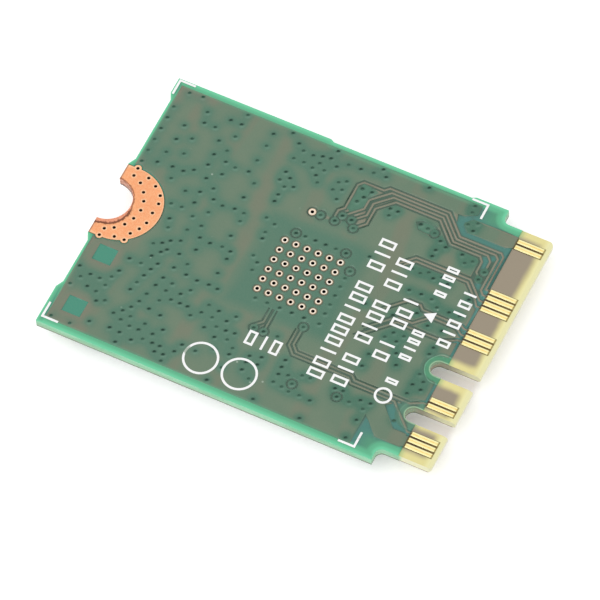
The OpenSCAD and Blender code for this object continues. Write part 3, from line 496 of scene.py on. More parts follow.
def makeMaskSheet(plan):
    sheet = mergedCopy("mask_back", "maskBack")
    mesh = bmesh.new()
    mesh.from_mesh(sheet.data)
    bottom = min(v.co.z for v in mesh.verts)
    tops = [f for f in mesh.faces if f.normal.z > 0.9 and f.calc_center_median().z > bottom + 0.03 * mm]
    topSet = set(tops)
    topTree = BVHTree.FromPolygons([v.co.copy() for v in mesh.verts],
                                   [[v.index for v in f.verts] for f in tops])
    rims = [e for e in mesh.edges if sum(f in topSet for f in e.link_faces) == 1]
    bmesh.ops.delete(mesh, geom=tops, context="FACES_ONLY")
    # flat outline of every step and opening
    spots, places, ends = {}, [], []

    def placeOf(point):
        key = (round(point.x / mm, 5), round(point.y / mm, 5))
        if key not in spots:
            spots[key] = len(places)
            places.append(Vector((point.x / mm, point.y / mm)))
        return spots[key]

    for edge in rims:
        if edge.is_valid:
            pair = tuple(placeOf(v.co) for v in edge.verts)
            if pair[0] != pair[1]:
                ends.append(pair)
    known = len(places)
    rimTree = treeOf(alongEdges([(places[a].to_3d(), places[b].to_3d()) for a, b in ends], 0.05))
    vias = [c / mm for c in islandCentres("via_plugs")]
    viaTree = treeOf(vias)

    def free(x, y, clear):
        return rimTree.find(Vector((x, y, 0)))[2] > clear

    for ring in plan["haloRings"]:
        for via in vias:
            for i in range(plan["haloSides"]):
                turn = 2 * math.pi * (i + (ring == plan["haloRings"][1]) / 2) / plan["haloSides"]
                x, y = via.x + ring * math.cos(turn), via.y + ring * math.sin(turn)
                if free(x, y, 0.03) and viaTree.find(Vector((x, y, 0)))[2] > ring - 0.01:
                    places.append(Vector((x, y)))
    low = Vector([min(p[k] for p in places[:known]) for k in range(2)])
    high = Vector([max(p[k] for p in places[:known]) for k in range(2)])
    columns = int((high.x - low.x) / plan["cell"])
    rows = int((high.y - low.y) / plan["cell"])
    for i in range(columns + 1):
        for j in range(rows + 1):
            x, y = low.x + i * plan["cell"], low.y + (j + (i % 2) / 2) * plan["cell"]
            away = viaTree.find(Vector((x, y, 0)))[2]
            if free(x, y, plan["clear"]) and away > plan["haloRings"][-1] + 0.04:
                places.append(Vector((x, y)))
    flat, _, triangles, origins, _, _ = delaunay_2d_cdt(places, ends, [], 0, 1e-7, True)
    points = [places[o[0]] if o else p for p, o in zip(flat, origins)]
    made = {}

    def vertAt(index, level):
        key = (index, round(level, 7))
        if key not in made:
            made[key] = mesh.verts.new((points[index].x * mm, points[index].y * mm, level))
        return made[key]

    for triangle in triangles:
        middle = sum((points[i] for i in triangle), Vector((0, 0))) / 3 * mm
        hit = topTree.ray_cast(Vector((middle.x, middle.y, 0.01)), Vector((0, 0, -1)))[0]
        if hit:
            mesh.faces.new([vertAt(i, hit.z) for i in triangle])
    bmesh.ops.remove_doubles(mesh, verts=mesh.verts, dist=2e-8)
    # the mask sinks a little round each via
    for vert in mesh.verts:
        if vert.co.z > bottom + 0.03 * mm:
            gap = viaTree.find(Vector((vert.co.x / mm, vert.co.y / mm, 0)))[2]
            near = max(0.0, 1 - (gap - 0.12) / (plan["dipReach"] - 0.12))
            vert.co.z -= plan["dip"] * mm * min(1.0, near) ** 2
    mesh.to_mesh(sheet.data)
    openEdges = sum(not e.is_manifold for e in mesh.edges)
    mesh.free()
    print("mask sheet:", len(sheet.data.polygons), "faces,", openEdges, "open edges,", len(vias), "vias")
    # distances that the material reads
    outline = treeOf(outlinePoints(plan))
    rings = treeOf(ringCentres(ringPlan))
    spotsFlat = [Vector((v.co.x / mm, v.co.y / mm, 0)) for v in sheet.data.vertices]
    sunk = [v.co.z / mm < plan["lowLevel"] for v in sheet.data.vertices]
    broad = [rimTree.find(p)[2] > plan["wideGap"] for p in spotsFlat]
    wideTree = treeOf([p for p, isLow, isWide in zip(spotsFlat, sunk, broad) if isWide and isLow])
    solidTree = treeOf([p for p, isLow, isWide in zip(spotsFlat, sunk, broad) if isWide and not isLow])
    values = {"viaGap": [], "viaCrowd": [], "edgeGap": [], "openWide": [], "openNear": [], "onTrack": [],
              "ringGap": [], "viaLit": [], "viaAlong": []}
    wideFade = plan["wideReach"] - plan["wideGap"]
    for spot in spotsFlat:
        near = viaTree.find_range(spot, plan["crowdReach"] * 2.2)
        centre, _, gap = viaTree.find(spot)
        values["viaGap"].append(gap)
        fall = min(1.0, max(0.0, (0.34 - gap) / 0.14)) * min(1.0, max(0.0, (gap - 0.06) / 0.1))
        along = (spot - centre).normalized().dot(litSide)
        values["viaLit"].append(fall * max(0.0, along))
        values["viaAlong"].append(along ** 2 if gap < 0.4 else 0.0)
        values["ringGap"].append(rings.find(spot)[2])
        values["viaCrowd"].append(min(1.0, sum(math.exp(-(n[2] / plan["crowdReach"]) ** 2) for n in near)))
        place, _, gap = outline.find(spot)
        values["edgeGap"].append(gap * (plan["endNarrowing"] if place.x < plan["endReach"] else 1))
        away = wideTree.find(spot)[2]
        values["openWide"].append(min(1.0, max(0.0, (plan["wideReach"] - away) / wideFade)))
        values["openNear"].append(max(0.0, 1 - away / plan["blushReach"]))
        away = solidTree.find(spot)[2]
        values["onTrack"].append(min(1.0, max(0.0, (away - plan["trackNear"]) / plan["trackFade"])))
    for name, numbers in values.items():
        sheet.data.attributes.new(name, "FLOAT", "POINT").data.foreach_set("value", numbers)
    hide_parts("mask_back")
    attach(sheet, "root")
    smoothByAngle(sheet, 30)
    return sheet


def smoothByAngle(piece, degrees):
    bpy.ops.object.select_all(action="DESELECT")
    piece.select_set(True)
    bpy.context.view_layer.objects.active = piece
    bpy.ops.object.shade_smooth_by_angle(angle=math.radians(degrees), keep_sharp_edges=False)
    piece.select_set(False)


maskMaterial = makeMaskMaterial(maskLook)
maskSheet = makeMaskSheet(sheetPlan)
wear(maskSheet, maskMaterial)

# Via plugs: a small resin dish in each hole of the mask

dishPlan = {"radius": 0.12, "sides": 16, "foot": 2.24, "rim": 2.294, "depth": 0.016,
            "centre": (6, 40, 28), "wall": (28, 74, 56), "faint": (54, 92, 74), "lit": (92, 138, 116)}


def makeDishes(plan):
    centres = islandCentres("via_plugs")
    height = plan["rim"] - plan["foot"]
    bpy.ops.mesh.primitive_cylinder_add(vertices=plan["sides"], radius=plan["radius"] * mm, depth=height * mm,
                                        location=(0, 0, (plan["foot"] + height / 2) * mm))
    dish = bpy.context.object
    bpy.ops.object.transform_apply(location=True, rotation=True, scale=True)
    bpy.ops.object.mode_set(mode="EDIT")
    bpy.ops.mesh.select_all(action="DESELECT")
    bpy.ops.object.mode_set(mode="OBJECT")
    for face in dish.data.polygons:
        face.select = face.normal.z > 0.9
    bpy.ops.object.mode_set(mode="EDIT")
    bpy.ops.mesh.inset(thickness=plan["radius"] * 0.35 * mm, depth=-plan["depth"] * 0.7 * mm)
    bpy.ops.mesh.inset(thickness=plan["radius"] * 0.3 * mm, depth=-plan["depth"] * 0.3 * mm)
    bpy.ops.mesh.poke()
    bpy.ops.object.mode_set(mode="OBJECT")
    copies = []
    for centre in centres:
        copy = bpy.data.objects.new("dish", dish.data.copy())
        copy.data.transform(Matrix.Translation((centre.x, centre.y, 0)))
        bpy.context.scene.collection.objects.link(copy)
        copies.append(copy)
    bpy.ops.object.select_all(action="DESELECT")
    for copy in copies:
        copy.select_set(True)
    bpy.context.view_layer.objects.active = copies[0]
    bpy.ops.object.join()
    joined = bpy.context.object
    joined.name = "viaDishes"
    bpy.data.objects.remove(dish)
    smoothByAngle(joined, 50)
    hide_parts("via_plugs")
    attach(joined, "root")
    return joined


def makeResinMaterial(plan):
    material, tree, shader = newMaterial("viaResin")
    spot = millimetres(tree)
    height = put(tree, "SeparateXYZ", Vector=spot).outputs["Z"]
    level = between(tree, height, plan["rim"] - plan["depth"], plan["rim"])
    fine = useGroup(tree, grainGroup, Vector=spot, Scale=30.0)
    uneven = between(tree, noise(tree, spot, 0.8, 1), 0.58, 0.38)
    # painted shade: the dish darkens towards its sunken centre
    shade = times(tree, plus(tree, level, fine["Mask"]), 0.6, clamp=True)
    colour = mixed(tree, shade, paint(plan["centre"]), paint(plan["wall"]))
    colour = tinted(tree, colour, times(tree, uneven, 0.85), plan["faint"])
    # painted highlight on the side of each dish that faces litSide
    slope = put(tree, "VectorMath", {"operation": "DOT_PRODUCT"})
    feed(tree, slope.inputs[0], put(tree, "NewGeometry").outputs["Normal"])
    feed(tree, slope.inputs[1], litSide)
    lit = times(tree, between(tree, slope.outputs["Value"], -0.05, -0.3), 0.8)
    colour = tinted(tree, colour, lit, plan["lit"])
    tree.links.new(colour, shader.inputs["Base Color"])
    shader.inputs["Roughness"].default_value = 0.35
    shader.inputs["Specular IOR Level"].default_value = 0.3
    tree.links.new(bump(tree, fine["Height"], 0.3, 0.003), shader.inputs["Normal"])
    return material


viaDishes = makeDishes(dishPlan)
wear(viaDishes, makeResinMaterial(dishPlan))
print("via dishes modelled")

# Laminate: glass weave in pale resin, green where the masks' light reaches the cut edge

laminateLook = {
    "tongue": (230, 220, 150), "tongueEdge": (242, 238, 182), "innerPlane": (154, 142, 122),
    "edgeTop": (112, 206, 158), "edgePale": (146, 194, 156), "footShadow": (150, 128, 122),
    "edgeGlow": (160, 220, 182),
    "tongueWall": (240, 236, 196), "slotWall": (178, 168, 148), "slotSeam": (122, 112, 90),
    "underMask": (66, 84, 60), "bleed": (140, 186, 126),
    "gapStart": (76, 52, 14), "gapEnd": (116, 92, 40), "flank": (112, 98, 62),
    "gapHalf": 0.085, "flankWidth": 0.09, "contactHalf": 0.175, "contactEnd": 14.76,
    "planeEnd": 14.3, "planeHalf": 9.35, "slotReach": 0.75, "keyClear": (0.72, 1.05),
    "chipReach": 2.9, "chipGap": (196, 172, 142), "wallFoot": 1.56, "wallTop": 2.24, "maskEdge": 12.5,
    "tipSide": (14.3, 14.9), "gapSide": (13.2, 14.7), "slotStart": (10.5, 10.7), "slotFade": (14.4, 12.2),
    "weaveTone": (250, 244, 200), "fibreTone": (205, 240, 205),
}


def contactGaps(half):
    # the middle of each gap between neighbouring contacts, and each outer flank with its direction
    ys = sorted(c.y / mm for c in islandCentres("contacts_back"))
    gaps = [(a + b) / 2 for a, b in zip(ys, ys[1:]) if b - a < 0.6]
    above = [(a + half, 1) for a, b in zip(ys, ys[1:] + [99]) if b - a > 0.6]
    below = [(b - half, -1) for a, b in zip([-99] + ys, ys) if b - a > 0.6]
    return gaps, above + below


def makeLaminateMaterial(look):
    material, tree, shader = newMaterial("laminate")
    spot = millimetres(tree)
    parts = put(tree, "SeparateXYZ", Vector=spot).outputs
    flat = between(tree, levelness(tree), 0.4, 0.8)
    wobble = times(tree, less(tree, noise(tree, spot, 0.8, 2), 0.5), 0.3)
    # the blurred inner plane that shows through the bare tongue
    x = plus(tree, parts["X"], wobble)
    y = plus(tree, parts["Y"], wobble)
    plane = times(tree, between(tree, x, look["planeEnd"] + 0.35, look["planeEnd"] - 0.25),
                  between(tree, size(tree, y), look["planeHalf"] + 0.3, look["planeHalf"] - 0.3))
    for key, clear in zip(slotPlan["keys"], look["keyClear"]):
        away = size(tree, less(tree, y, key))
        plane = times(tree, plane, between(tree, away, clear - 0.2, clear + 0.35))
    tongue = mixed(tree, between(tree, parts["X"], *look["tipSide"]), paint(look["tongue"]),
                   paint(look["tongueEdge"]))
    bleed = times(tree, between(tree, parts["X"], look["maskEdge"] + 0.55, look["maskEdge"]), 0.65)
    tongue = tinted(tree, tongue, bleed, look["bleed"])
    tongue = tinted(tree, tongue, plane, look["innerPlane"])
    out = larger(tree, size(tree, parts["X"]), size(tree, parts["Y"]))
    pastChip = between(tree, out, look["chipReach"], look["chipReach"] + 0.1)
    under = mixed(tree, pastChip, paint(look["chipGap"]), paint(look["underMask"]))
    tongue = mixed(tree, between(tree, parts["X"], look["maskEdge"], look["maskEdge"] - 0.1), tongue, under)
    # woven glass, faint
    warp, weft = (put(tree, "TexWave", {"bands_direction": axis}, Vector=spot, Scale=scale, Distortion=0.6)
                  for axis, scale in (("X", 1.6), ("Y", 1.3)))
    weave = times(tree, warp.outputs["Fac"], weft.outputs["Fac"])
    bareShare = less(tree, 0.04, times(tree, plane, 0.04))
    bareWeave = times(tree, weave, bareShare)
    tongue = tinted(tree, tongue, bareWeave, look["weaveTone"])
    # dark gaps between neighbouring contacts, their tone partly painted shade, and a painted brown shade
    # along their outer flanks
    middles, flanks = contactGaps(look["contactHalf"])
    gaps = shade = 0.0
    for middle in middles:
        away = size(tree, less(tree, parts["Y"], middle))
        dark = between(tree, away, look["gapHalf"] + 0.01, look["gapHalf"] - 0.02)
        gaps = larger(tree, gaps, dark)
    for flank, way in flanks:
        away = times(tree, less(tree, parts["Y"], flank), way)
        strip = times(tree, between(tree, away, -0.02, 0.0),
                      between(tree, away, look["flankWidth"], 0.02))
        shade = larger(tree, shade, strip)
    onTop = times(tree, between(tree, parts["X"], look["contactEnd"], look["contactEnd"] - 0.06),
                  between(tree, parts["Z"], 1.9, 2.0))
    gapTone = mixed(tree, between(tree, parts["X"], *look["gapSide"]), paint(look["gapStart"]),
                    paint(look["gapEnd"]))
    tongue = mixed(tree, times(tree, gaps, onTop), tongue, gapTone)
    tongue = tinted(tree, tongue, times(tree, shade, times(tree, onTop, 0.8)), look["flank"])
    # cut walls: green on the body, cream on the tongue, a painted shadow line at the foot
    rise = between(tree, parts["Z"], look["wallFoot"] + 0.25, look["wallTop"])
    wall = mixed(tree, rise, paint(look["edgePale"]), paint(look["edgeTop"]))
    wall = tinted(tree, wall, between(tree, parts["X"], look["maskEdge"], look["maskEdge"] + 0.4),
                  look["tongueWall"])
    # key slots: brownish grey inside, with a darker seam below the mask
    inSlot = 0.0
    for key in slotPlan["keys"]:
        away = size(tree, less(tree, parts["Y"], key))
        inside = between(tree, away, look["slotReach"], look["slotReach"] - 0.06)
        inSlot = larger(tree, inSlot, inside)
    inSlot = times(tree, inSlot, between(tree, parts["X"], *look["slotStart"]))
    deepSlot = times(tree, inSlot, between(tree, parts["X"], *look["slotFade"]))
    wall = tinted(tree, wall, deepSlot, look["slotWall"])
    seam = times(tree, between(tree, parts["Z"], look["wallTop"] - 0.2, look["wallTop"] - 0.05), 0.7)
    wall = tinted(tree, wall, times(tree, seam, deepSlot), look["slotSeam"])
    foot = between(tree, plus(tree, parts["Z"], times(tree, wobble, 0.1)),
                   look["wallFoot"] + 0.12, look["wallFoot"] + 0.04)
    wall = tinted(tree, wall, foot, look["footShadow"])
    # painted highlight streaks along the cut wall of the body
    streak = noise(tree, stretched(tree, spot, (0.3, 0.3, 1.5)), 1.0, 2, 0.5)
    streak = times(tree, between(tree, streak, 0.45, 0.62),
                   between(tree, parts["X"], look["maskEdge"], look["maskEdge"] - 1.0))
    wall = tinted(tree, wall, times(tree, streak, less(tree, 0.6, foot, clamp=True)), look["edgeGlow"])
    fibres = noise(tree, stretched(tree, spot, (2, 2, 14)), 2.2, 4, 0.6)
    wall = tinted(tree, wall, times(tree, between(tree, fibres, 0.5, 0.7), 0.3), look["fibreTone"])
    tree.links.new(mixed(tree, flat, wall, tongue), shader.inputs["Base Color"])
    fine = useGroup(tree, grainGroup, Vector=spot, Scale=12.0)
    rough = plus(tree, times(tree, fine["Mask"], 0.15), 0.35)
    tree.links.new(rough, shader.inputs["Roughness"])
    height = plus(tree, times(tree, weave, 0.2), fine["Height"])
    tree.links.new(bump(tree, height, 0.25, 0.006), shader.inputs["Normal"])
    return material


wear(cadNodes["board"], makeLaminateMaterial(laminateLook))

# Metals and the other finishes

goldLook = {"pale": (255, 246, 182), "core": (248, 212, 120), "deep": (222, 182, 92), "side": (92, 66, 16),
            "tip": (150, 132, 74), "stubStart": 14.6, "pitch": 0.5, "half": 0.175, "row": 12.0}


def makeGoldMaterial(look, firstMiddle):
    material, tree, shader = newMaterial("contactGold")
    spot = millimetres(tree)
    parts = put(tree, "SeparateXYZ", Vector=spot).outputs
    onTongue = between(tree, parts["X"], look["row"], look["row"] + 0.4)
    # pale shoulders as painted highlight, and a warmer line along the middle of each contact
    across = maths(tree, "WRAP", less(tree, parts["Y"], firstMiddle), look["pitch"] / 2,
                   -look["pitch"] / 2)
    wander = times(tree, less(tree, noise(tree, spot, 1.6, 2), 0.5), 0.09)
    away = size(tree, plus(tree, across, wander))
    core = between(tree, away, look["half"] * 0.5, 0.01)
    patches = between(tree, noise(tree, stretched(tree, spot, (1, 0.4, 0)), 3.2, 3), 0.4, 0.62)
    core = times(tree, times(tree, core, onTongue), plus(tree, times(tree, patches, 0.4), 0.6))
    colour = mixed(tree, core, paint(look["pale"]), paint(look["core"]))
    marks = useGroup(tree, scratchGroup, Vector=spot, Scale=1.2)["Mask"]
    colour = tinted(tree, colour, times(tree, marks, 0.35), look["deep"])
    # painted brown shade on the upright flanks, and the cut stub at the tip end
    flank = between(tree, levelness(tree), 0.6, 0.3)
    colour = tinted(tree, colour, times(tree, flank, onTongue), look["side"])
    stub = between(tree, parts["X"], look["stubStart"], look["stubStart"] + 0.05)
    colour = tinted(tree, colour, times(tree, stub, 0.85), look["tip"])
    tree.links.new(colour, shader.inputs["Base Color"])
    shader.inputs["Metallic"].default_value = 0.7
    tree.links.new(plus(tree, times(tree, core, 0.2), 0.24), shader.inputs["Roughness"])
    tree.links.new(bump(tree, core, 0.3, 0.01), shader.inputs["Normal"])
    return material


copperLook = {"base": (250, 168, 114), "pale": (252, 184, 134), "dark": (238, 152, 102),
              "tarnish": (176, 120, 96), "inside": (22, 8, 4), "padPlane": 2.23, "cutEdge": (128, 92, 82),
              "halo": (255, 210, 168), "haloStart": 0.13, "haloEnd": 0.27,
              "scrape": (112, 58, 32), "scraped": (236, 156, 124), "notch": (-15, 0), "notchRadius": 1.75,
              "centre": (-14, 0), "padRadius": 3.05, "cutSide": (-14.86, -14.96),
              "rubbed": (232, 178, 154), "notchFoot": (120, 78, 62), "notchInner": (122, 84, 70)}


def nearestGap(tree, parts, centres):
    # distance in the plane to the nearest of some places
    flat = put(tree, "CombineXYZ", X=parts["X"], Y=parts["Y"], Z=0.0).outputs[0]
    nearest = 99.0
    for centre in centres:
        gap = put(tree, "VectorMath", {"operation": "DISTANCE"})
        feed(tree, gap.inputs[0], flat)
        feed(tree, gap.inputs[1], (centre[0], centre[1], 0))
        nearest = maths(tree, "MINIMUM", gap.outputs["Value"], nearest)
    return nearest


def padMarks(tree, look, spot, parts, colour):
    # a pale painted highlight round each hole, and the scraped lip of the notch with its brown line
    holes = [c / mm for c in islandCentres("screw_pad_vias")]
    halo = between(tree, nearestGap(tree, parts, holes), look["haloEnd"], look["haloStart"])
    colour = tinted(tree, colour, times(tree, halo, 0.75), look["halo"])
    reach = nearestGap(tree, parts, [look["notch"]])
    lip = less(tree, reach, look["notchRadius"])
    # pale rim of the pad, and the dull line of its cut edge
    toRim = less(tree, look["padRadius"], nearestGap(tree, parts, [look["centre"]]))
    rim = between(tree, toRim, 0.13, 0.02)
    colour = tinted(tree, colour, times(tree, rim, 0.5), look["halo"])
    cut = times(tree, between(tree, parts["X"], *look["cutSide"]), 0.65)
    colour = tinted(tree, colour, cut, look["cutEdge"])
    rough = times(tree, less(tree, noise(tree, spot, 2.6, 4, 0.7), 0.5), 0.42)
    width = plus(tree, times(tree, between(tree, parts["Y"], 0.6, -1.5), 0.28), 0.06)
    lower = between(tree, parts["Y"], 0.1, -0.5)
    flecks = times(tree, between(tree, noise(tree, spot, 5.0, 2, 0.6), 0.5, 0.58),
                   times(tree, between(tree, lip, 0.46, 0.3), lower))
    colour = tinted(tree, colour, times(tree, flecks, 0.8), look["scrape"])
    past = plus(tree, less(tree, lip, width), rough)
    scraped = times(tree, between(tree, past, 0.02, -0.04), 0.8)
    colour = tinted(tree, colour, scraped, look["scraped"])
    thick = plus(tree, times(tree, lower, 0.05), 0.08)
    line = between(tree, less(tree, size(tree, past), thick), 0.0, -0.06)
    strong = plus(tree, times(tree, lower, 0.2), 0.7)
    return tinted(tree, colour, times(tree, line, strong), look["scrape"])


def ringMarks(tree, look, spot, parts, colour):
    # painted shade at the lip of each hole, and a duller outer edge
    gap = nearestGap(tree, parts, ringCentres(ringPlan))
    colour = tinted(tree, colour, between(tree, gap, *look["lip"]), look["inside"])
    outer = times(tree, between(tree, gap, *look["outerEdge"]), 0.5)
    return tinted(tree, colour, outer, look["outer"])


def makeCopperMaterial(name, look, metallic, marks):
    # bare plated copper; below the pad's plane the bores are dark with painted shade
    material, tree, shader = newMaterial(name)
    spot = millimetres(tree)
    parts = put(tree, "SeparateXYZ", Vector=spot).outputs
    wall = between(tree, levelness(tree), 0.6, 0.3)
    grains = useGroup(tree, grainGroup, Vector=spot, Scale=9.0)
    patches = useGroup(tree, mottleGroup, Vector=spot, Scale=0.7)["Mask"]
    colour = mixed(tree, grains["Mask"], paint(look["base"]), paint(look["pale"]))
    colour = tinted(tree, colour, times(tree, patches, 0.25), look["dark"])
    colour = marks(tree, look, spot, parts, colour)
    depth = between(tree, parts["Z"], look["padPlane"] + 0.05, look["padPlane"] - 0.08)
    colour = tinted(tree, colour, times(tree, wall, depth), look["inside"])
    tree.links.new(colour, shader.inputs["Base Color"])
    shader.inputs["Metallic"].default_value = metallic
    rough = plus(tree, times(tree, grains["Mask"], 0.15), 0.42)
    tree.links.new(rough, shader.inputs["Roughness"])
    tree.links.new(bump(tree, grains["Height"], 0.4, 0.008), shader.inputs["Normal"])
    return material


def makeNotchMaterial(look):
    material, tree, shader = newMaterial("notchCopper")
    spot = millimetres(tree)
    parts = put(tree, "SeparateXYZ", Vector=spot).outputs
    rubs = noise(tree, stretched(tree, spot, (1, 1, 5)), 2.5, 4, 0.6)
    grains = useGroup(tree, grainGroup, Vector=spot, Scale=10.0)
    colour = mixed(tree, between(tree, rubs, 0.4, 0.62), paint(look["tarnish"]), paint(look["rubbed"]))
    colour = tinted(tree, colour, between(tree, parts["Z"], 1.75, 1.58), look["notchFoot"])
    colour = tinted(tree, colour, between(tree, parts["X"], -14.4, -13.5), look["notchInner"])
    tree.links.new(colour, shader.inputs["Base Color"])
    shader.inputs["Metallic"].default_value = 0.4
    shader.inputs["Roughness"].default_value = 0.5
    tree.links.new(bump(tree, grains["Height"], 0.5, 0.012), shader.inputs["Normal"])
    return material


ringLook = {"base": (255, 236, 212), "pale": (255, 248, 232), "dark": (240, 200, 166),
            "inside": (14, 5, 3), "outer": (196, 170, 138), "padPlane": 2.24,
            "lip": (0.14, 0.125), "outerEdge": (0.2, 0.225)}
printLook = {"white": (255, 255, 255), "worn": (150, 166, 148), "wornSpot": (-4.3, -8.7), "wornReach": 0.7}


def makePrintMaterial(look):
    material, tree, shader = newMaterial("whitePrint")
    spot = millimetres(tree)
    parts = put(tree, "SeparateXYZ", Vector=spot).outputs
    grains = useGroup(tree, grainGroup, Vector=spot, Scale=7.0)
    patches = noise(tree, spot, 0.9, 3, 0.6)
    dx = less(tree, parts["X"], look["wornSpot"][0])
    dy = less(tree, parts["Y"], look["wornSpot"][1])
    total = plus(tree, times(tree, dx, dx), times(tree, dy, dy))
    gap = maths(tree, "SQRT", total)
    local = times(tree, between(tree, gap, look["wornReach"], 0.1), 0.3)
    worn = between(tree, plus(tree, patches, local), 0.64, 0.78)
    faint = plus(tree, worn, times(tree, grains["Mask"], 0.08))
    faint = times(tree, faint, 0.8)
    colour = mixed(tree, faint, paint(look["white"]), paint(look["worn"]))
    tree.links.new(colour, shader.inputs["Base Color"])
    shader.inputs["Roughness"].default_value = 0.55
    tree.links.new(bump(tree, grains["Height"], 0.4, 0.006), shader.inputs["Normal"])
    return material


scratchTone = (235, 236, 236)


def makeFinish(name, base, other, metallic, rough, scale, depth, scratches=0.0, stretch=(1, 1, 1),
               cloud=0.45):
    # plain finishes: two tones in grains and patches, with scratches where asked
    material, tree, shader = newMaterial(name)
    spot = millimetres(tree, stretch)
    grains = useGroup(tree, grainGroup, Vector=spot, Scale=scale)
    patches = useGroup(tree, mottleGroup, Vector=spot, Scale=scale * 0.12)["Mask"]
    blend = plus(tree, times(tree, grains["Mask"], 0.45), times(tree, patches, cloud))
    colour = mixed(tree, blend, paint(base), paint(other))
    if scratches:
        marks = useGroup(tree, scratchGroup, Vector=spot, Scale=1.2)["Mask"]
        colour = tinted(tree, colour, times(tree, marks, scratches), scratchTone)
    tree.links.new(colour, shader.inputs["Base Color"])
    shader.inputs["Metallic"].default_value = metallic
    rough = plus(tree, times(tree, patches, 0.12), rough)
    tree.links.new(rough, shader.inputs["Roughness"])
    tree.links.new(bump(tree, grains["Height"], 0.4, depth), shader.inputs["Normal"])
    return material


# Rounded copies of the parts whose edges catch the light: node, width of the edge in mm

roundedEdges = {
    "shield_lid": 0.05, "shield_frame": 0.02, "antenna_socket_bases": 0.04, "coupling_capacitors": 0.04,
    "coupling_capacitor_ends": 0.05, "contacts_back": 0.012, "contacts_front": 0.012, "corner_marks": 0.004,
}


def roundedCopy(nodeName, width):
    first, *others = nodeName.split("_")
    piece = mergedCopy(nodeName, first + "".join(word.capitalize() for word in others))
    bpy.ops.object.select_all(action="DESELECT")
    piece.select_set(True)
    bpy.context.view_layer.objects.active = piece
    bpy.ops.object.mode_set(mode="EDIT")
    bpy.ops.mesh.select_all(action="SELECT")
    bpy.ops.mesh.dissolve_limited(angle_limit=math.radians(0.5))
    bpy.ops.object.mode_set(mode="OBJECT")
    edges = piece.modifiers.new("roundedEdges", "BEVEL")
    edges.width = width * mm
    edges.segments = 2
    edges.limit_method = "ANGLE"
    edges.angle_limit = math.radians(50)
    bpy.ops.object.modifier_apply(modifier=edges.name)
    smoothByAngle(piece, 40)
    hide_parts(nodeName)
    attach(piece, "root")
    return piece


worn = dict(cadNodes)
for name, width in roundedEdges.items():
    worn[name] = roundedCopy(name, width)
print("rounded copies:", {name: len(worn[name].data.polygons) for name in roundedEdges})

gold = makeGoldMaterial(goldLook, islandCentres("contacts_back")[0].y / mm)
padCopper = makeCopperMaterial("padCopper", copperLook, 0.3, padMarks)
ringMetal = makeCopperMaterial("ringMetal", ringLook, 0.1, ringMarks)
whitePrint = makePrintMaterial(printLook)
finishes = {
    "maskFront": makeFinish("maskFront", (60, 128, 96), (74, 140, 104), 0.0, 0.32, 10.0, 0.006),
    "maskedCopper": makeFinish("maskedCopper", (112, 100, 62), (96, 84, 50), 0.5, 0.4, 8.0, 0.004),
    "shieldMetal": makeFinish("shieldMetal", (204, 204, 200), (188, 188, 185), 0.85, 0.3, 5.0, 0.005, 0.25,
                              (0.12, 1, 1), 0.2),
    "frameMetal": makeFinish("frameMetal", (188, 188, 184), (168, 168, 166), 0.85, 0.36, 6.0, 0.006, 0.2,
                             (0.2, 1, 1), 0.2),
    "mouldCompound": makeFinish("mouldCompound", (38, 38, 40), (54, 54, 56), 0.0, 0.55, 22.0, 0.01),
    "solder": makeFinish("solder", (196, 198, 200), (170, 172, 176), 0.9, 0.25, 12.0, 0.008),
    "ceramic": makeFinish("ceramic", (150, 118, 88), (128, 98, 72), 0.0, 0.5, 14.0, 0.006),
    "socketPlastic": makeFinish("socketPlastic", (232, 228, 216), (214, 208, 194), 0.0, 0.45, 10.0, 0.006),
}
nodeFinishes = {
    "maskFront": ["mask_front"],
    "maskedCopper": ["ground_copper_back", "signal_tracks_back"],
    "shieldMetal": ["shield_lid", "crystal_lid"],
    "frameMetal": ["shield_frame"],
    "mouldCompound": ["radio_chip", "memory_chip", "regulator_chip", "inductors", "front_end_modules",
                      "resistors"],
    "solder": ["radio_chip_solder", "memory_chip_leads", "regulator_chip_leads", "inductor_ends",
               "capacitor_ends", "resistor_ends", "coupling_capacitor_ends"],
    "ceramic": ["crystal_base", "filters", "capacitors", "coupling_capacitors"],
    "socketPlastic": ["antenna_socket_bases"],
}
for finish, names in nodeFinishes.items():
    for name in names:
        wear(worn[name], finishes[finish])
for name in ("contacts_back", "contacts_front", "antenna_socket_shells", "antenna_socket_pins"):
    wear(worn[name], gold)
for name in ("screw_pad_back", "screw_pad_front", "screw_pad_vias"):
    wear(worn[name], padCopper)
for name in ("chip_vias", "probe_pad"):
    wear(worn[name], ringMetal)
wear(worn["notch_plating"], makeNotchMaterial(copperLook))
for name in ("corner_marks", "print_rings", "print_triangle", "print_marks"):
    wear(worn[name], whitePrint)
print("finishes worn by the nodes")

# Pale floor and plain studio light

stagePlan = {"floor": (252, 252, 252), "floorSize": 3000, "floorGlow": 0.34,
             "dim": (226, 221, 220), "shadowGap": 0.5, "shadowSpan": (8.5, 10.0, 14.2, 14.9),
             "sky": 0.76, "lamp": 0.8, "lampAngle": 50, "lampTilt": (26, -18)}


def seenDirectly(tree):
    # 1 where the camera looks, also by a reflection or through glass
    rays = put(tree, "LightPath").outputs
    mirrored = larger(tree, rays["Is Glossy Ray"], rays["Is Transmission Ray"])
    return larger(tree, rays["Is Camera Ray"], mirrored)


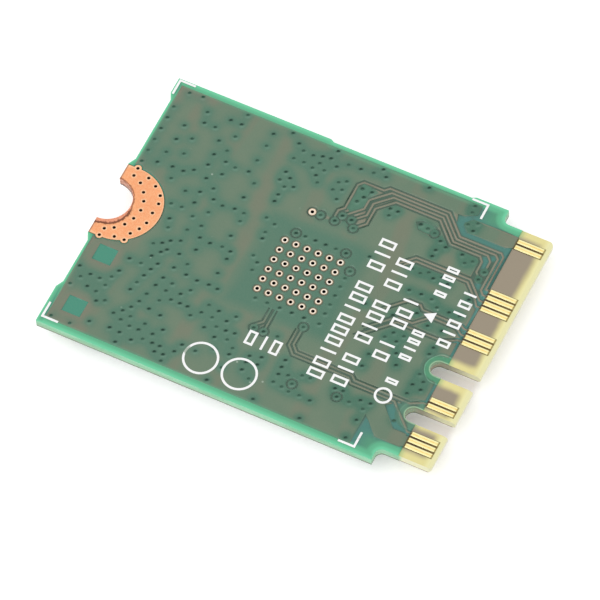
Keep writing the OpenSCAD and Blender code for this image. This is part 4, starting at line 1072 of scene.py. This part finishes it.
def makeStage(plan):
    bpy.ops.mesh.primitive_plane_add(size=plan["floorSize"] * mm, location=(0, 0, cadLow.z))
    floor = bpy.context.object
    floor.name = "floor"
    material, tree, shader = newMaterial("floorWhite")
    out = next(n for n in tree.nodes if n.type == "OUTPUT_MATERIAL")
    # painted shadow: the floor is greyer where it is seen through the key slots
    spot = millimetres(tree)
    parts = put(tree, "SeparateXYZ", Vector=spot).outputs
    span = plan["shadowSpan"]
    dim = times(tree, between(tree, parts["X"], span[0], span[1]),
                between(tree, parts["X"], span[3], span[2]))
    nearSlot = between(tree, slotGap(tree, parts, slotPlan), plan["shadowGap"] + 0.6, plan["shadowGap"])
    dim = times(tree, dim, nearSlot)
    tree.links.new(mixed(tree, dim, paint(plan["floor"]), paint(plan["dim"])), shader.inputs["Base Color"])
    shader.inputs["Roughness"].default_value = 0.9
    shader.inputs["Specular IOR Level"].default_value = 0
    seen = seenDirectly(tree)
    tree.links.new(mixed(tree, dim, (1, 1, 1, 1), paint(plan["dim"])), shader.inputs["Emission Color"])
    tree.links.new(times(tree, seen, plan["floorGlow"]), shader.inputs["Emission Strength"])
    # open from below, so that the underside can be seen
    clear = put(tree, "BsdfTransparent")
    back = put(tree, "NewGeometry").outputs["Backfacing"]
    both = put(tree, "MixShader")
    tree.links.new(back, both.inputs[0])
    tree.links.new(shader.outputs[0], both.inputs[1])
    tree.links.new(clear.outputs[0], both.inputs[2])
    tree.links.new(both.outputs[0], out.inputs["Surface"])
    floor.data.materials.append(material)
    world = bpy.data.worlds.new("paleRoom")
    bpy.context.scene.world = world
    world.use_nodes = True
    tree = world.node_tree
    backdrop = tree.nodes["Background"]
    seen = seenDirectly(tree)
    tree.links.new(mixed(tree, seen, (plan["sky"],) * 3 + (1,), (1, 1, 1, 1)), backdrop.inputs["Color"])
    bpy.ops.object.light_add(type="SUN", rotation=[math.radians(a) for a in plan["lampTilt"]] + [0])
    lamp = bpy.context.object
    lamp.name = "softLamp"
    lamp.data.energy = plan["lamp"]
    lamp.data.angle = math.radians(plan["lampAngle"])


makeStage(stagePlan)
print("stage and lamps set")

bpy.context.view_layer.update()
